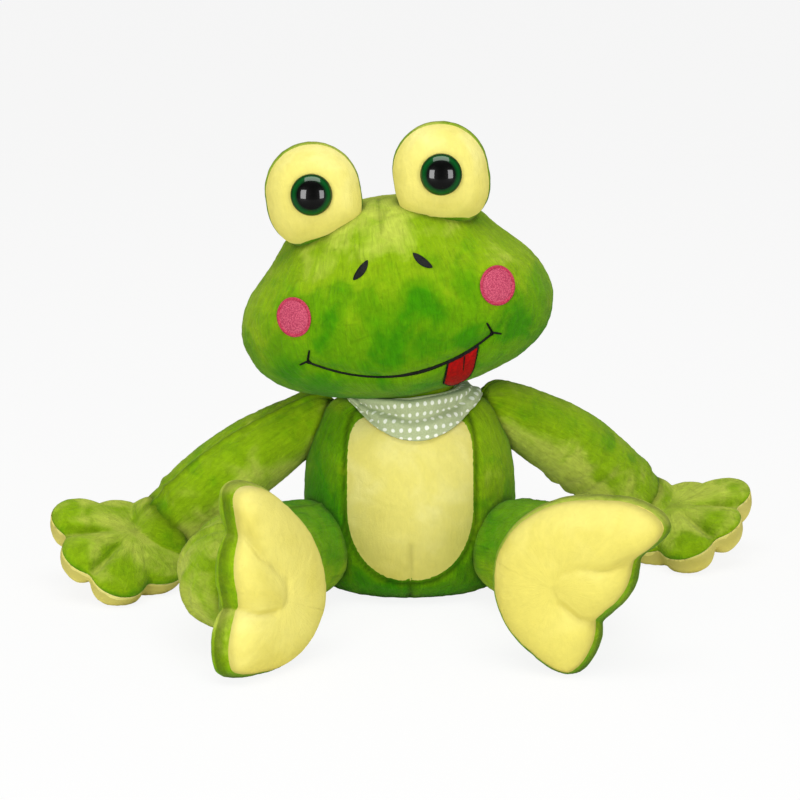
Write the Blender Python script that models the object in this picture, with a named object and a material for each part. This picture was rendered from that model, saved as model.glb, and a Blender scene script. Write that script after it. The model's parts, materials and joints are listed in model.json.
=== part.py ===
"""Sitting plush frog: stuffed body, head, arms, hands, legs and feet, with sewn panels and plastic eyes.

Metres, +Z up. The frog faces -Y, its left side is +X, and the origin is the centre of its seat.
"""

import math

import bmesh
import bpy
from mathutils import Matrix, Vector
from mathutils.bvhtree import BVHTree

# Clearances and cuts that all pieces share
PANEL_GAP = 0.0008
BALL_GAP = 0.0009
FIT_GAP = 0.0003
FLAT_CUT = 0.0005
OVERRUN = 0.004
BALL_COUNT = 18
BALL_LEVELS = 10

# Body: widths and depths at each level, as shares of the body's own sizes
TORSO_HEIGHT = 0.101
TORSO_WIDTH = 0.114
TORSO_DEPTH = 0.101
TORSO_LEVEL_SHARES = (0.0, 0.02, 0.06, 0.13, 0.24, 0.37, 0.50, 0.62, 0.73, 0.83, 0.91, 0.965, 1.0)
TORSO_WIDTH_SHARES = (0.64, 0.79, 0.89, 0.96, 0.995, 1.0, 0.995, 0.975, 0.93, 0.86, 0.765, 0.62, 0.42)
TORSO_DEPTH_SHARES = (0.54, 0.70, 0.83, 0.94, 0.99, 1.0, 0.97, 0.92, 0.85, 0.76, 0.66, 0.54, 0.40)
TORSO_SQUARENESS = 2.3

# Belly panel: its ends' distances from the body's bottom and top
BELLY_WIDTH = 0.068
BELLY_BOTTOM = 0.012
BELLY_TOP_DROP = 0.0070
PANEL_THICKNESS = 0.002

# Neck, a stuffed ball between body and head
NECK_RADIUS = 0.021
NECK_RISE = 0.0045

# Head: half outlines at each level, as shares of the head's own sizes
HEAD_WIDTH = 0.166
HEAD_HEIGHT = 0.104
HEAD_DEPTH = 0.106
HEAD_ABOVE_NECK = 0.0485
HEAD_FORWARD = 0.008
HEAD_TILT = math.radians(-9.0)
HEAD_PITCH = math.radians(-6.0)
HEAD_LEVEL_SHARES = (
    0.0, 0.02, 0.06, 0.11, 0.17, 0.24, 0.32, 0.41, 0.50, 0.59, 0.68, 0.77, 0.85, 0.92, 0.97, 1.0,
)
HEAD_WIDTH_SHARES = (
    0.20, 0.38, 0.57, 0.73, 0.85, 0.935, 0.98, 1.0, 0.98, 0.92, 0.825, 0.72, 0.64, 0.56, 0.44, 0.28,
)
HEAD_DEPTH_SHARES = (
    0.24, 0.42, 0.60, 0.74, 0.85, 0.93, 0.98, 1.0, 0.99, 0.955, 0.90, 0.83, 0.74, 0.62, 0.47, 0.30,
)
HEAD_SQUARENESS = 2.15
HEAD_CENTRE_SHARE = 0.464

# Eye stalks: flat round pads that stand in troughs on the head
LOBE_WIDTH = 0.0495
LOBE_HEIGHT = 0.0462
LOBE_THICKNESS = 0.026
LOBE_SIDE_SHARES = {"left": 0.2069, "right": 0.1958}
LOBE_FORWARD = 0.022
LOBE_BASE_HEIGHT = 0.0452
LOBE_ROOT_WIDTH = 0.036
LOBE_FLOP = math.radians(12.0)
LOBE_DOME_POWER = 3.2
LOBE_ROOT_POWER = 0.8
EYE_FIELD_SHARE = 0.92
EYE_FIELD_DROP = 0.0205

# Plastic eyes with stem and washer
EYE_DIAMETER = 0.0215
EYE_DROP = 0.0020
EYE_DOME = 0.0065
EYE_DOME_STEPS = 5
EYE_RIM = 0.0012
EYE_STEM_DIAMETER = 0.005
EYE_STEM_LENGTH = 0.0095
WASHER_DIAMETER = 0.015
WASHER_THICKNESS = 0.0018
WASHER_FROM_END = 0.0022

# Face: places across and above the head's centre, and the cheeks' inset from its sides
CHEEK_WIDTH = 0.0170
CHEEK_HEIGHT = 0.0190
CHEEK_INSETS = {"left": 0.0290, "right": 0.0320}
CHEEK_UP = 0.0045
NOSTRIL_WIDTH = 0.0046
NOSTRIL_HEIGHT = 0.0110
NOSTRIL_SIDES = {"left": 0.0185, "right": -0.0135}
NOSTRIL_UP = 0.0235
NOSTRIL_SLANT = math.radians(40.0)
STITCH_THICKNESS = 0.001
MOUTH_HALF_WIDTH = 0.0470
MOUTH_CORNER_DROP = 0.0200
MOUTH_SAG = 0.0135
MOUTH_LINE_WIDTH = 0.0016
MOUTH_FORK = 0.006
TONGUE_WIDTH = 0.0165
TONGUE_LENGTH = 0.0155
TONGUE_SIDE = 0.0300
TONGUE_THICKNESS = 0.0016
TONGUE_ROUND_SHARE = 0.35
TONGUE_LEAN_SHARE = 0.12
MOUTH_STEPS = 24

# Neckerchief: a strip of cloth round the top of the body, deepest in front
SCARF_THICKNESS = 0.0018
SCARF_TOP_SHARE = 0.965
SCARF_BACK_SHARE = 0.935
SCARF_FRONT_SHARE = 0.845
SCARF_FRONT_POWER = 2.2
SCARF_LEAN = math.radians(12.0)
SCARF_FOLD_DEPTH = 0.0012
SCARF_COLLAR_RADIUS = 0.0255
SCARF_COLLAR_RISE = 0.0003
SCARF_COLLAR_SLOPE = 0.9
SCARF_FOLDS = 3
SCARF_BELLY_START = 0.2
SCARF_BELLY_BLEND = 0.3

# Limbs: how soon the swelling between the end balls reaches its full size
LIMB_SWELL_POWER = 1.4

# Arms: shoulder and wrist balls with a swelling between them
SHOULDER_RADIUS = 0.0145
SHOULDER_STANDOFF = 0.0144
SHOULDER_BACK = 0.006
ARM_RADIUS = 0.0208
ARM_LEVEL_SHARE = 0.55
ELBOW_DROP = 0.0255
WRIST_RADIUS = 0.0175
WRIST_INSET = 0.003
WRIST_RISE = 0.012

# Hands: three fingers round a palm. Angles from the middle axis, and sizes as shares of the palm
HAND_PALM_RADIUS = 0.0275
HAND_THICKNESS = 0.027
HAND_FINGER_ANGLES = (math.radians(52.0), math.radians(-1.0), math.radians(-43.0))
HAND_FINGER_REACH_SHARES = (1.11, 0.97, 1.03)
HAND_FINGER_RADIUS_SHARES = (0.56, 0.58, 0.58)
HAND_NOTCHES = (math.radians(25.5), math.radians(-22.0))

# Legs: hip and ankle balls with a swelling between them
HIP_RADIUS = 0.0235
HIP_STANDOFF = 0.0100
HIP_HEIGHT = 0.0325
LEG_RADIUS = 0.0270
ANKLE_RADIUS = 0.0185
ANKLE_STANDOFF = 0.0065

# Feet: webbed, with three toes. The outline is turns in degrees with reaches as shares of the heel
FOOT_HEEL_RADIUS = 0.0360
FOOT_THICKNESS = 0.027
FOOT_TURNS = (
    -172, -158, -144, -130, -116, -102, -90, -78, -69, -62, -54, -43, -31, -19,
    -7, 6, 20, 33, 45, 48, 53, 58, 66, 78, 92, 108, 125, 142, 158, 173,
)
FOOT_REACH_SHARES = (
    0.98, 0.96, 0.95, 0.95, 0.97, 0.99, 1.03, 1.10, 1.18, 1.21, 1.12, 0.98, 0.84, 0.68,
    0.72, 0.81, 0.93, 1.04, 1.12, 1.52, 1.70, 1.74, 1.65, 1.49, 1.32, 1.20, 1.12, 1.06, 1.03, 1.01,
)
FOOT_NOTCHES = (math.radians(45.0), math.radians(-19.0))
PAD_EDGE_SHARE = 0.92
PAD_CREASE_SHARE = 0.30
PAD_CREASE_SPREAD = math.radians(9.0)
PAD_DOME_POWER = 2.6
PAD_RING_SHARES = (0.45, 0.76, 0.92, 0.955)
PAD_COUNT = 28

# How each side lies in this pose: hand and foot places from the seat, and the pads' directions
SIDES = {
    "left": {
        "sign": 1,
        "shoulder_drop": 0.0095,
        "hand": (0.1500, 0.0430),
        "finger_way": (0.765, -0.644, -0.01),
        "palm_normal": (0.329, 0.252, -0.91),
        "foot": (0.0727, -0.140),
        "toe_way": (0.93, -0.2, -0.34),
        "sole_normal": (-0.33, -0.92, 0.20),
        "hip_way": (0.86, -0.51),
        "shin_length": 0.046,
        "knee_rise": 0.005,
    },
    "right": {
        "sign": -1,
        "shoulder_drop": 0.0140,
        "hand": (-0.1515, -0.0120),
        "finger_way": (-0.727, -0.687, -0.017),
        "palm_normal": (-0.345, 0.387, -0.855),
        "foot": (-0.0690, -0.138),
        "toe_way": (-0.642, -0.669, 0.374),
        "sole_normal": (0.751, -0.646, 0.134),
        "hip_way": (-0.86, -0.51),
        "shin_length": 0.028,
        "knee_rise": 0.012,
    },
}

COLOURS = {
    "green_plush": (0.21, 0.38, 0.015),
    "yellow_plush": (0.86, 0.78, 0.23),
    "rose_satin": (0.66, 0.09, 0.16),
    "black_thread": (0.01, 0.01, 0.012),
    "red_felt": (0.62, 0.008, 0.008),
    "dotted_cotton": (0.50, 0.56, 0.36),
    "eye_plastic": (0.004, 0.02, 0.008),
    "washer_plastic": (0.80, 0.80, 0.76),
}
ROUGHNESS = {"eye_plastic": 0.08, "washer_plastic": 0.45, "rose_satin": 0.5}


def clear_scene():
    for obj in list(bpy.data.objects):
        bpy.data.objects.remove(obj, do_unlink=True)


def material(name):
    found = bpy.data.materials.get(name)
    if found:
        return found
    made = bpy.data.materials.new(name)
    made.use_nodes = True
    shader = made.node_tree.nodes["Principled BSDF"]
    shader.inputs["Base Color"].default_value = (*COLOURS[name], 1)
    shader.inputs["Roughness"].default_value = ROUGHNESS.get(name, 0.9)
    shader.inputs["Metallic"].default_value = 0
    return made


def add_object(name, points, faces, finish, parent=None):
    mesh = bpy.data.meshes.new(name)
    mesh.from_pydata([tuple(p) for p in points], [], faces)
    form = bmesh.new()
    form.from_mesh(mesh)
    bmesh.ops.recalc_face_normals(form, faces=form.faces)
    form.to_mesh(mesh)
    form.free()
    mesh.materials.append(material(finish))
    mesh.shade_smooth()
    obj = bpy.data.objects.new(name, mesh)
    bpy.context.scene.collection.objects.link(obj)
    obj.parent = parent
    return obj


def add_empty(name, matrix, parent=None):
    empty = bpy.data.objects.new(name, None)
    bpy.context.scene.collection.objects.link(empty)
    empty.parent = parent
    empty.matrix_local = matrix
    return empty


def as_cutter(obj):
    obj.hide_render = True
    obj.display_type = "WIRE"
    return obj


def cut(obj, cutter):
    modifier = obj.modifiers.new("cut_" + cutter.name, "BOOLEAN")
    modifier.operation = "DIFFERENCE"
    modifier.solver = "EXACT"
    modifier.object = cutter


def ring_faces(rings, count, close_start=True, close_end=True):
    """Quads between successive rings of equal count, with a flat cap at each open end."""
    faces = []
    for ring in range(rings - 1):
        for i in range(count):
            a = ring * count + i
            b = ring * count + (i + 1) % count
            faces.append((a, b, b + count, a + count))
    if close_start:
        faces.append(tuple(reversed(range(count))))
    if close_end:
        last = (rings - 1) * count
        faces.append(tuple(range(last, last + count)))
    return faces


def ring_shell(rows, count):
    """Faces of a closed band: its rows on one side, then the same rows on the other."""
    shift = rows * count
    last = shift - count
    faces = []
    for i in range(count):
        j = (i + 1) % count
        for r in range(rows - 1):
            a, b = r * count + i, r * count + j
            faces.append((a, a + count, b + count, b))
            faces.append((a + shift, b + shift, b + count + shift, a + count + shift))
        faces.append((i, j, j + shift, i + shift))
        faces.append((last + j, last + i, last + i + shift, last + j + shift))
    return faces


def superellipse(angle, half_width, half_depth, squareness):
    c, s = math.cos(angle), math.sin(angle)
    power = 2 / squareness
    return (
        half_width * math.copysign(abs(c) ** power, c),
        half_depth * math.copysign(abs(s) ** power, s),
    )


def lofted(sizes, tables, squareness, count):
    """A stuffed form of level rings. Returns its points, lowest ring first, and its faces."""
    width, depth, height, bottom = sizes
    points = []
    for level, wide, deep in zip(*tables):
        for i in range(count):
            x, y = superellipse(
                math.tau * i / count, wide * width / 2, deep * depth / 2, squareness
            )
            points.append(Vector((x, y, bottom + level * height)))
    return points, ring_faces(len(tables[0]), count)


def outside_in(points, faces):
    """Finds places on a closed form by a ray from outside."""
    tree = BVHTree.FromPolygons([tuple(p) for p in points], faces)

    def hit(origin, way):
        place, normal, _, _ = tree.ray_cast(Vector(origin), Vector(way))
        return place, normal

    return hit


def draped(name, grid, seat, finish, gap, thickness, parent=None):
    """A thin strip on a curved form: grid rows of start points and ways, found on the form by rays."""
    rows = len(grid)
    count = len(grid[0])
    under, over = [], []
    for row in grid:
        for origin, way in row:
            place, normal = seat(origin, way)
            under.append(place + normal * gap)
            over.append(place + normal * (gap + thickness))
    shift = rows * count
    last = shift - count
    faces = []
    for r in range(rows - 1):
        for i in range(count - 1):
            a, b = r * count + i, r * count + i + 1
            faces.append((a, a + count, b + count, b))
            faces.append((a + shift, b + shift, b + count + shift, a + count + shift))
        a, b = r * count, (r + 1) * count
        faces.append((b, a, a + shift, b + shift))
        a, b = a + count - 1, b + count - 1
        faces.append((a, b, b + shift, a + shift))
    for i in range(count - 1):
        faces.append((i, i + 1, i + 1 + shift, i + shift))
        faces.append((last + i + 1, last + i, last + i + shift, last + i + 1 + shift))
    return add_object(name, under + over, faces, finish, parent)


def draped_oval(name, centre, outline, seat, finish, thickness, parent, rings, count):
    """A rounded panel on a curved form: its centre and outline(angle) are seen from the front."""
    under, over = [], []
    spots = [(0, 0)] + [(r, i) for r in range(1, rings + 1) for i in range(count)]
    for r, i in spots:
        edge = outline(math.tau * i / count)
        origin = centre + (edge - centre) * (r / rings)
        place, normal = seat(origin, (0, 1, 0))
        under.append(place + normal * PANEL_GAP)
        over.append(place + normal * (PANEL_GAP + thickness))
    shift = len(spots)
    faces = []
    for i in range(count):
        j = (i + 1) % count
        faces.append((0, 1 + j, 1 + i))
        faces.append((shift, shift + 1 + i, shift + 1 + j))
        for r in range(rings - 1):
            a, b = 1 + r * count + i, 1 + r * count + j
            faces.append((a, b, b + count, a + count))
            faces.append((a + shift, a + count + shift, b + count + shift, b + shift))
        a, b = 1 + (rings - 1) * count + i, 1 + (rings - 1) * count + j
        faces.append((a, b, b + shift, a + shift))
    return add_object(name, under + over, faces, finish, parent)


def closed_tube(name, points, count, ends, finish, parent):
    """Rings of points closed by a fan to each end point."""
    faces = ring_faces(len(points) // count, count, False, False)
    last = len(points) - count
    low, high = len(points), len(points) + 1
    for i in range(count):
        j = (i + 1) % count
        faces += [(low, j, i), (high, last + i, last + j)]
    return add_object(name, [*points, *ends], faces, finish, parent)


def sphere(name, radius, place, finish, parent=None, count=BALL_COUNT, levels=BALL_LEVELS):
    centre = Vector(place)
    points = []
    for level in range(1, levels):
        tip = math.pi * level / levels
        for i in range(count):
            turn = math.tau * i / count
            x, y = math.sin(tip) * math.cos(turn), math.sin(tip) * math.sin(turn)
            points.append(centre + radius * Vector((x, y, -math.cos(tip))))
    up = Vector((0, 0, radius))
    return closed_tube(name, points, count, (centre - up, centre + up), finish, parent)


def limb(name, path, radii, finish, parent, count=16, steps=7, ball_steps=4):
    """A tapering tube from start to end, bent towards a handle, with a half ball at each end."""
    start, handle, end = (Vector(p) for p in path)
    first, middle, last = radii

    def along(t):
        return start * (1 - t) ** 2 + handle * (2 * t * (1 - t)) + end * t**2

    def heading(t):
        return ((handle - start) * (1 - t) + (end - handle) * t).normalized()

    def swell(t):
        ends = first + (last - first) * t
        return ends + (middle - (first + last) / 2) * max(0, math.sin(math.pi * t)) ** LIMB_SWELL_POWER

    rings = []
    for step in range(1, ball_steps):
        tip = math.pi / 2 * step / ball_steps
        way = heading(0)
        rings.append((start - way * first * math.cos(tip), way, first * math.sin(tip)))
    for step in range(steps + 1):
        t = step / steps
        rings.append((along(t), heading(t), swell(t)))
    for step in range(1, ball_steps):
        tip = math.pi / 2 * step / ball_steps
        way = heading(1)
        rings.append((end + way * last * math.sin(tip), way, last * math.cos(tip)))
    points = []
    for centre, way, radius in rings:
        side = way.cross(Vector((0, 0, 1))).normalized()
        up = side.cross(way)
        for i in range(count):
            turn = math.tau * i / count
            points.append(centre + (side * math.cos(turn) + up * math.sin(turn)) * radius)
    ends = (start - heading(0) * first, end + heading(1) * last)
    bpy.context.view_layer.update()
    local = parent.matrix_world.inverted()
    return closed_tube(
        name, [local @ p for p in points], count, [local @ p for p in ends], finish, parent
    )


def lobed_outline(palm_radius, angles, reach_shares, radius_shares):
    """Distance from the palm's centre to the edge in each direction: the palm and its fingers."""

    def edge(turn):
        furthest = palm_radius
        for angle, reach, radius in zip(angles, reach_shares, radius_shares):
            off = math.remainder(turn - angle, math.tau)
            aside = reach * palm_radius * math.sin(off)
            if abs(off) < math.pi / 2 and abs(aside) < radius * palm_radius:
                reached = reach * palm_radius * math.cos(off)
                furthest = max(
                    furthest, reached + math.sqrt((radius * palm_radius) ** 2 - aside**2)
                )
        return furthest

    return edge


def table_outline(radius, turns, reach_shares):
    """Distance from the pad's centre to the edge in each direction, straight between a table's turns."""

    def edge(turn):
        first = max(range(len(turns)), key=lambda k: -((turn - turns[k]) % math.tau))
        second = (first + 1) % len(turns)
        span = (turns[second] - turns[first]) % math.tau
        share = ((turn - turns[first]) % math.tau) / span
        return radius * (reach_shares[first] * (1 - share) + reach_shares[second] * share)

    return edge


def creased(turn, ring_share, notches):
    """Share of the full thickness: less along the lines between fingers."""
    depth = 0
    for notch in notches:
        off = math.remainder(turn - notch, math.tau)
        depth = max(depth, math.exp(-((off / PAD_CREASE_SPREAD) ** 2)))
    return 1 - PAD_CREASE_SHARE * depth * ring_share


def dome(ring_share):
    return math.sqrt(max(0, 1 - ring_share**PAD_DOME_POWER))


def pad_pair(names, edge, turns, notches, thickness, frame, mirrored):
    """A stuffed pad with fingers, and the thin panel let into its underside."""
    half = thickness / 2
    recess = PANEL_THICKNESS + PANEL_GAP

    def rings_of(shares, height_of):
        rows = []
        for share in shares:
            rows.append(
                [
                    pad_spot(edge, turn, share, height_of(turn, share), mirrored)
                    for turn in turns
                ]
            )
        return rows

    def full(turn, share):
        return half * dome(share) * creased(turn, share, notches)

    def under_pad(turn, share):
        height = full(turn, share)
        return -height + recess if share <= PAD_EDGE_SHARE else -height

    def under_panel(turn, share):
        return -full(turn, share)

    def over_panel(turn, share):
        return -full(turn, share) + PANEL_THICKNESS

    upper = rings_of(PAD_RING_SHARES, full)
    rim = rings_of([1.0], lambda turn, share: 0)
    lower = rings_of(PAD_RING_SHARES[::-1], under_pad)
    pad = closed_shell(
        names[0], upper + rim + lower, full(0, 0), -full(0, 0) + recess, "green_plush", frame
    )
    panel_shares = [share for share in PAD_RING_SHARES if share < PAD_EDGE_SHARE]
    panel_shares.append(PAD_EDGE_SHARE - PANEL_GAP / edge(math.pi))
    top = rings_of(panel_shares, over_panel)
    bottom = rings_of(panel_shares[::-1], under_panel)
    panel = closed_shell(
        names[1],
        top + bottom,
        -full(0, 0) + PANEL_THICKNESS,
        -full(0, 0),
        "yellow_plush",
        frame,
    )
    return pad, panel


def closed_shell(name, rows, top_height, bottom_height, finish, parent):
    """Rings from the top centre outwards and back to the bottom centre."""
    count = len(rows[0])
    points = [p for row in rows for p in row]
    top, bottom = len(points), len(points) + 1
    points += [Vector((0, 0, top_height)), Vector((0, 0, bottom_height))]
    last = (len(rows) - 1) * count
    faces = []
    for i in range(count):
        j = (i + 1) % count
        faces.append((top, i, j))
        faces.append((bottom, last + j, last + i))
        for r in range(len(rows) - 1):
            a, b = r * count + i, r * count + j
            faces.append((a, a + count, b + count, b))
    return add_object(name, points, faces, finish, parent)


def frame_of(place, ahead, under_normal):
    """A frame whose X goes ahead and whose -Z is the underside's normal."""
    up = -Vector(under_normal).normalized()
    x = (Vector(ahead) - up * Vector(ahead).dot(up)).normalized()
    y = up.cross(x)
    turn = Matrix((x, y, up)).transposed().to_4x4()
    return Matrix.Translation(Vector(place)) @ turn


def pad_spot(edge, turn, ring_share, height, mirrored):
    """A place on a pad, in its own frame."""
    out = edge(turn) * ring_share
    side = -math.sin(turn) if mirrored else math.sin(turn)
    return Vector((out * math.cos(turn), out * side, height))


def on_floor(frame, edge, turns, thickness, mirrored):
    """The frame lifted until its pad sinks by the flat cut into the floor."""
    lowest = 0
    for turn in turns:
        for share in (*PAD_RING_SHARES, 1):
            for height in (-dome(share) * thickness / 2, dome(share) * thickness / 2):
                spot = frame.to_3x3() @ pad_spot(edge, turn, share, height, mirrored)
                lowest = min(lowest, spot.z)
    return Matrix.Translation((0, 0, -lowest - FLAT_CUT)) @ frame


clear_scene()

# Body
torso_tables = (TORSO_LEVEL_SHARES, TORSO_WIDTH_SHARES, TORSO_DEPTH_SHARES)
torso_points, torso_faces = lofted(
    (TORSO_WIDTH, TORSO_DEPTH, TORSO_HEIGHT + FLAT_CUT, -FLAT_CUT), torso_tables, TORSO_SQUARENESS, 24
)
torso = add_object("torso", torso_points, torso_faces, "green_plush")
on_torso = outside_in(torso_points, torso_faces)

floor_size = 2 * (HEAD_WIDTH + TORSO_WIDTH)
floor_cutter = as_cutter(
    add_object(
        "floor_cutter",
        [
            (x * floor_size, y * floor_size, z * HEAD_WIDTH)
            for z in (-1, 0)
            for x, y in ((-1, -1), (1, -1), (1, 1), (-1, 1))
        ],
        ring_faces(2, 4),
        "green_plush",
    )
)
cut(torso, floor_cutter)


belly_height = TORSO_HEIGHT - BELLY_BOTTOM - BELLY_TOP_DROP
belly_centre = Vector((0, -TORSO_DEPTH, BELLY_BOTTOM + belly_height / 2))


def belly_edge(turn):
    x, z = superellipse(turn, BELLY_WIDTH / 2, belly_height / 2, TORSO_SQUARENESS)
    return belly_centre + Vector((x, 0, z))


belly = draped_oval(
    "belly_panel", belly_centre, belly_edge, on_torso, "yellow_plush", PANEL_THICKNESS, None, 4, 24
)


def neckerchief():
    """A loop of cloth round the neck: it lies on the shoulders, and its upper edge stands up as a collar."""
    count, rows, collar_rows = 28, 4, 2
    under, over = [], []
    for r in range(rows + collar_rows):
        for i in range(count):
            turn = math.tau * i / count
            outward = Vector((math.cos(turn), math.sin(turn), 0))
            front = max(0, -math.sin(turn - SCARF_LEAN)) ** SCARF_FRONT_POWER
            low = SCARF_BACK_SHARE + (SCARF_FRONT_SHARE - SCARF_BACK_SHARE) * front
            level = low + (SCARF_TOP_SHARE - low) * min(r, rows - 1) / (rows - 1)
            start = Vector((0, 0, level * TORSO_HEIGHT)) + outward * TORSO_WIDTH
            place, normal = on_torso(start, -outward)
            if r >= rows:
                rise = SCARF_COLLAR_RISE * (1 + SCARF_COLLAR_SLOPE * math.cos(turn))
                rim = outward * SCARF_COLLAR_RADIUS + Vector((0, 0, TORSO_HEIGHT + rise))
                place = place.lerp(rim, (r - rows + 1) / collar_rows)
                normal = (outward + Vector((0, 0, SCARF_COLLAR_RISE / SCARF_THICKNESS))).normalized()
            fold = math.sin(math.pi * SCARF_FOLDS * r / (rows + collar_rows - 1)) ** 2
            on_belly = (-math.sin(turn) - SCARF_BELLY_START) / SCARF_BELLY_BLEND
            lift = PANEL_GAP + (PANEL_THICKNESS + PANEL_GAP) * min(1, max(0, on_belly))
            under.append(place + normal * lift)
            over.append(place + normal * (lift + SCARF_THICKNESS + SCARF_FOLD_DEPTH * fold * front))
    faces = ring_shell(rows + collar_rows, count)
    return add_object("neckerchief", under + over, faces, "dotted_cotton")


scarf = neckerchief()

# Neck and head
neck_place = Vector((0, 0, TORSO_HEIGHT + NECK_RISE))
neck_joint = add_empty("neck_joint", Matrix.Translation(neck_place))
sphere("neck", NECK_RADIUS, (0, 0, 0), "green_plush", neck_joint)
neck_dimple = as_cutter(sphere("neck_dimple", NECK_RADIUS + BALL_GAP, neck_place, "green_plush"))
cut(torso, neck_dimple)
cut(scarf, neck_dimple)

head_turn = Matrix.Rotation(HEAD_TILT, 4, "Y") @ Matrix.Rotation(HEAD_PITCH, 4, "X")
head_joint = add_empty("head_joint", head_turn, neck_joint)
head_frame = add_empty(
    "head_frame", Matrix.Translation(Vector((0, -HEAD_FORWARD, HEAD_ABOVE_NECK))), head_joint
)
head_tables = (HEAD_LEVEL_SHARES, HEAD_WIDTH_SHARES, HEAD_DEPTH_SHARES)
head_sizes = (HEAD_WIDTH, HEAD_DEPTH, HEAD_HEIGHT, -HEAD_HEIGHT * HEAD_CENTRE_SHARE)
head_points, head_faces = lofted(head_sizes, head_tables, HEAD_SQUARENESS, 26)
head = add_object("head", head_points, head_faces, "green_plush", head_frame)
cut(head, neck_dimple)
on_head = outside_in(head_points, head_faces)


def oval_round(centre, width, height, slant=0.0):
    """An oval seen from the front of the head, leaning by slant."""

    def edge(turn):
        a, b = superellipse(turn, width / 2, height / 2, 2)
        c, s = math.cos(slant), math.sin(slant)
        return centre + Vector((a * c - b * s, 0, a * s + b * c))

    return edge


def mouth_height(x):
    return -MOUTH_CORNER_DROP - MOUTH_SAG * (1 - (x / MOUTH_HALF_WIDTH) ** 2)


def ribbon(name, line, width, finish, thickness, parent):
    """A flat line of stitches on the head, along points seen from the front."""
    grid = []
    for k, (x, z) in enumerate(line):
        before, after = line[max(0, k - 1)], line[min(len(line) - 1, k + 1)]
        way = Vector((after[0] - before[0], 0, after[1] - before[1])).normalized()
        side = Vector((-way.z, 0, way.x)) * width / 2
        centre = Vector((x, -HEAD_DEPTH, z))
        grid.append([(centre + side * s, (0, 1, 0)) for s in (-1, 1)])
    return draped(name, grid, on_head, finish, PANEL_GAP, thickness, parent)


mouth_line = []
for k in range(MOUTH_STEPS + 1):
    x = MOUTH_HALF_WIDTH * (2 * k / MOUTH_STEPS - 1)
    mouth_line.append((x, mouth_height(x)))
fork_side = MOUTH_HALF_WIDTH + MOUTH_FORK / 2
fork_height = MOUTH_FORK - MOUTH_CORNER_DROP
mouth_line = [(-fork_side, fork_height), *mouth_line, (fork_side, fork_height)]
ribbon("mouth_stitching", mouth_line, MOUTH_LINE_WIDTH, "black_thread", STITCH_THICKNESS, head_frame)


def tongue_grid(rows=6, columns=7):
    """Columns from the mouth line down to a round tip."""
    grid = []
    for c in range(columns):
        across = 2 * c / (columns - 1) - 1
        x = TONGUE_SIDE + across * TONGUE_WIDTH / 2
        top = mouth_height(x) - MOUTH_LINE_WIDTH / 2 - PANEL_GAP
        drop = TONGUE_LENGTH * (1 - TONGUE_ROUND_SHARE * abs(across) ** 3)
        column = []
        for r in range(rows):
            down = r / (rows - 1)
            start = Vector((x - down * TONGUE_WIDTH * TONGUE_LEAN_SHARE, -HEAD_DEPTH, top - drop * down))
            column.append((start, (0, 1, 0)))
        grid.append(column)
    return grid


draped("tongue", tongue_grid(), on_head, "red_felt", PANEL_GAP, TONGUE_THICKNESS, head_frame)

for side, sign in (("left", 1), ("right", -1)):
    centre = Vector((sign * (HEAD_WIDTH / 2 - CHEEK_INSETS[side]), -HEAD_DEPTH, CHEEK_UP))
    edge = oval_round(centre, CHEEK_WIDTH, CHEEK_HEIGHT)
    draped_oval(
        "cheek_" + side, centre, edge, on_head, "rose_satin", STITCH_THICKNESS, head_frame, 2, 14
    )
    centre = Vector((NOSTRIL_SIDES[side], -HEAD_DEPTH, NOSTRIL_UP))
    edge = oval_round(centre, NOSTRIL_WIDTH, NOSTRIL_HEIGHT, sign * NOSTRIL_SLANT)
    draped_oval(
        "nostril_" + side, centre, edge, on_head, "black_thread", STITCH_THICKNESS, head_frame, 1, 8
    )


def turned(name, profile, finish, parent, count=16):
    """A turned piece about the Y axis, from (radius, y) rows: solid if it starts on the axis, else a ring."""
    rows = [p for p in profile if p[0] > 0]
    points = []
    for radius, y in rows:
        for i in range(count):
            turn = math.tau * i / count
            points.append(Vector((radius * math.cos(turn), y, radius * math.sin(turn))))
    faces = ring_faces(len(rows), count, False, False)
    last = (len(rows) - 1) * count
    low, high = len(points), len(points) + 1
    solid = profile[0][0] == 0
    if solid:
        points += [Vector((0, profile[0][1], 0)), Vector((0, profile[-1][1], 0))]
    for i in range(count):
        j = (i + 1) % count
        if solid:
            faces += [(low, j, i), (high, last + i, last + j)]
        else:
            faces.append((last + i, last + j, j, i))
    return add_object(name, points, faces, finish, parent)


def lobe_form(name, grow, flop, parent, count=18, rows=4):
    """An eye stalk: a round pad above its root. Grown, and widened upwards by the flop, it is its slot."""
    half = LOBE_THICKNESS / 2
    centre_up = LOBE_HEIGHT - LOBE_WIDTH / 2
    shares = [math.sin(math.pi / 2 * (row + 1) / rows) for row in range(rows)]
    faced = [(-1, share) for share in shares] + [(1, share) for share in shares[-2::-1]]
    points = []
    for face, share in faced:
        reach = (LOBE_WIDTH / 2 + grow) * share
        for i in range(count):
            turn = math.tau * i / count
            z = centre_up + reach * math.sin(turn)
            y = half * (1 - share**LOBE_DOME_POWER) ** 0.5 + grow + abs(z) * math.tan(flop)
            points.append(Vector((reach * math.cos(turn), face * y, z)))
    deepest = half + grow + centre_up * math.tan(flop)
    ends = (Vector((0, -deepest, centre_up)), Vector((0, deepest, centre_up)))
    return closed_tube(name, points, count, ends, "green_plush", parent)


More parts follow.
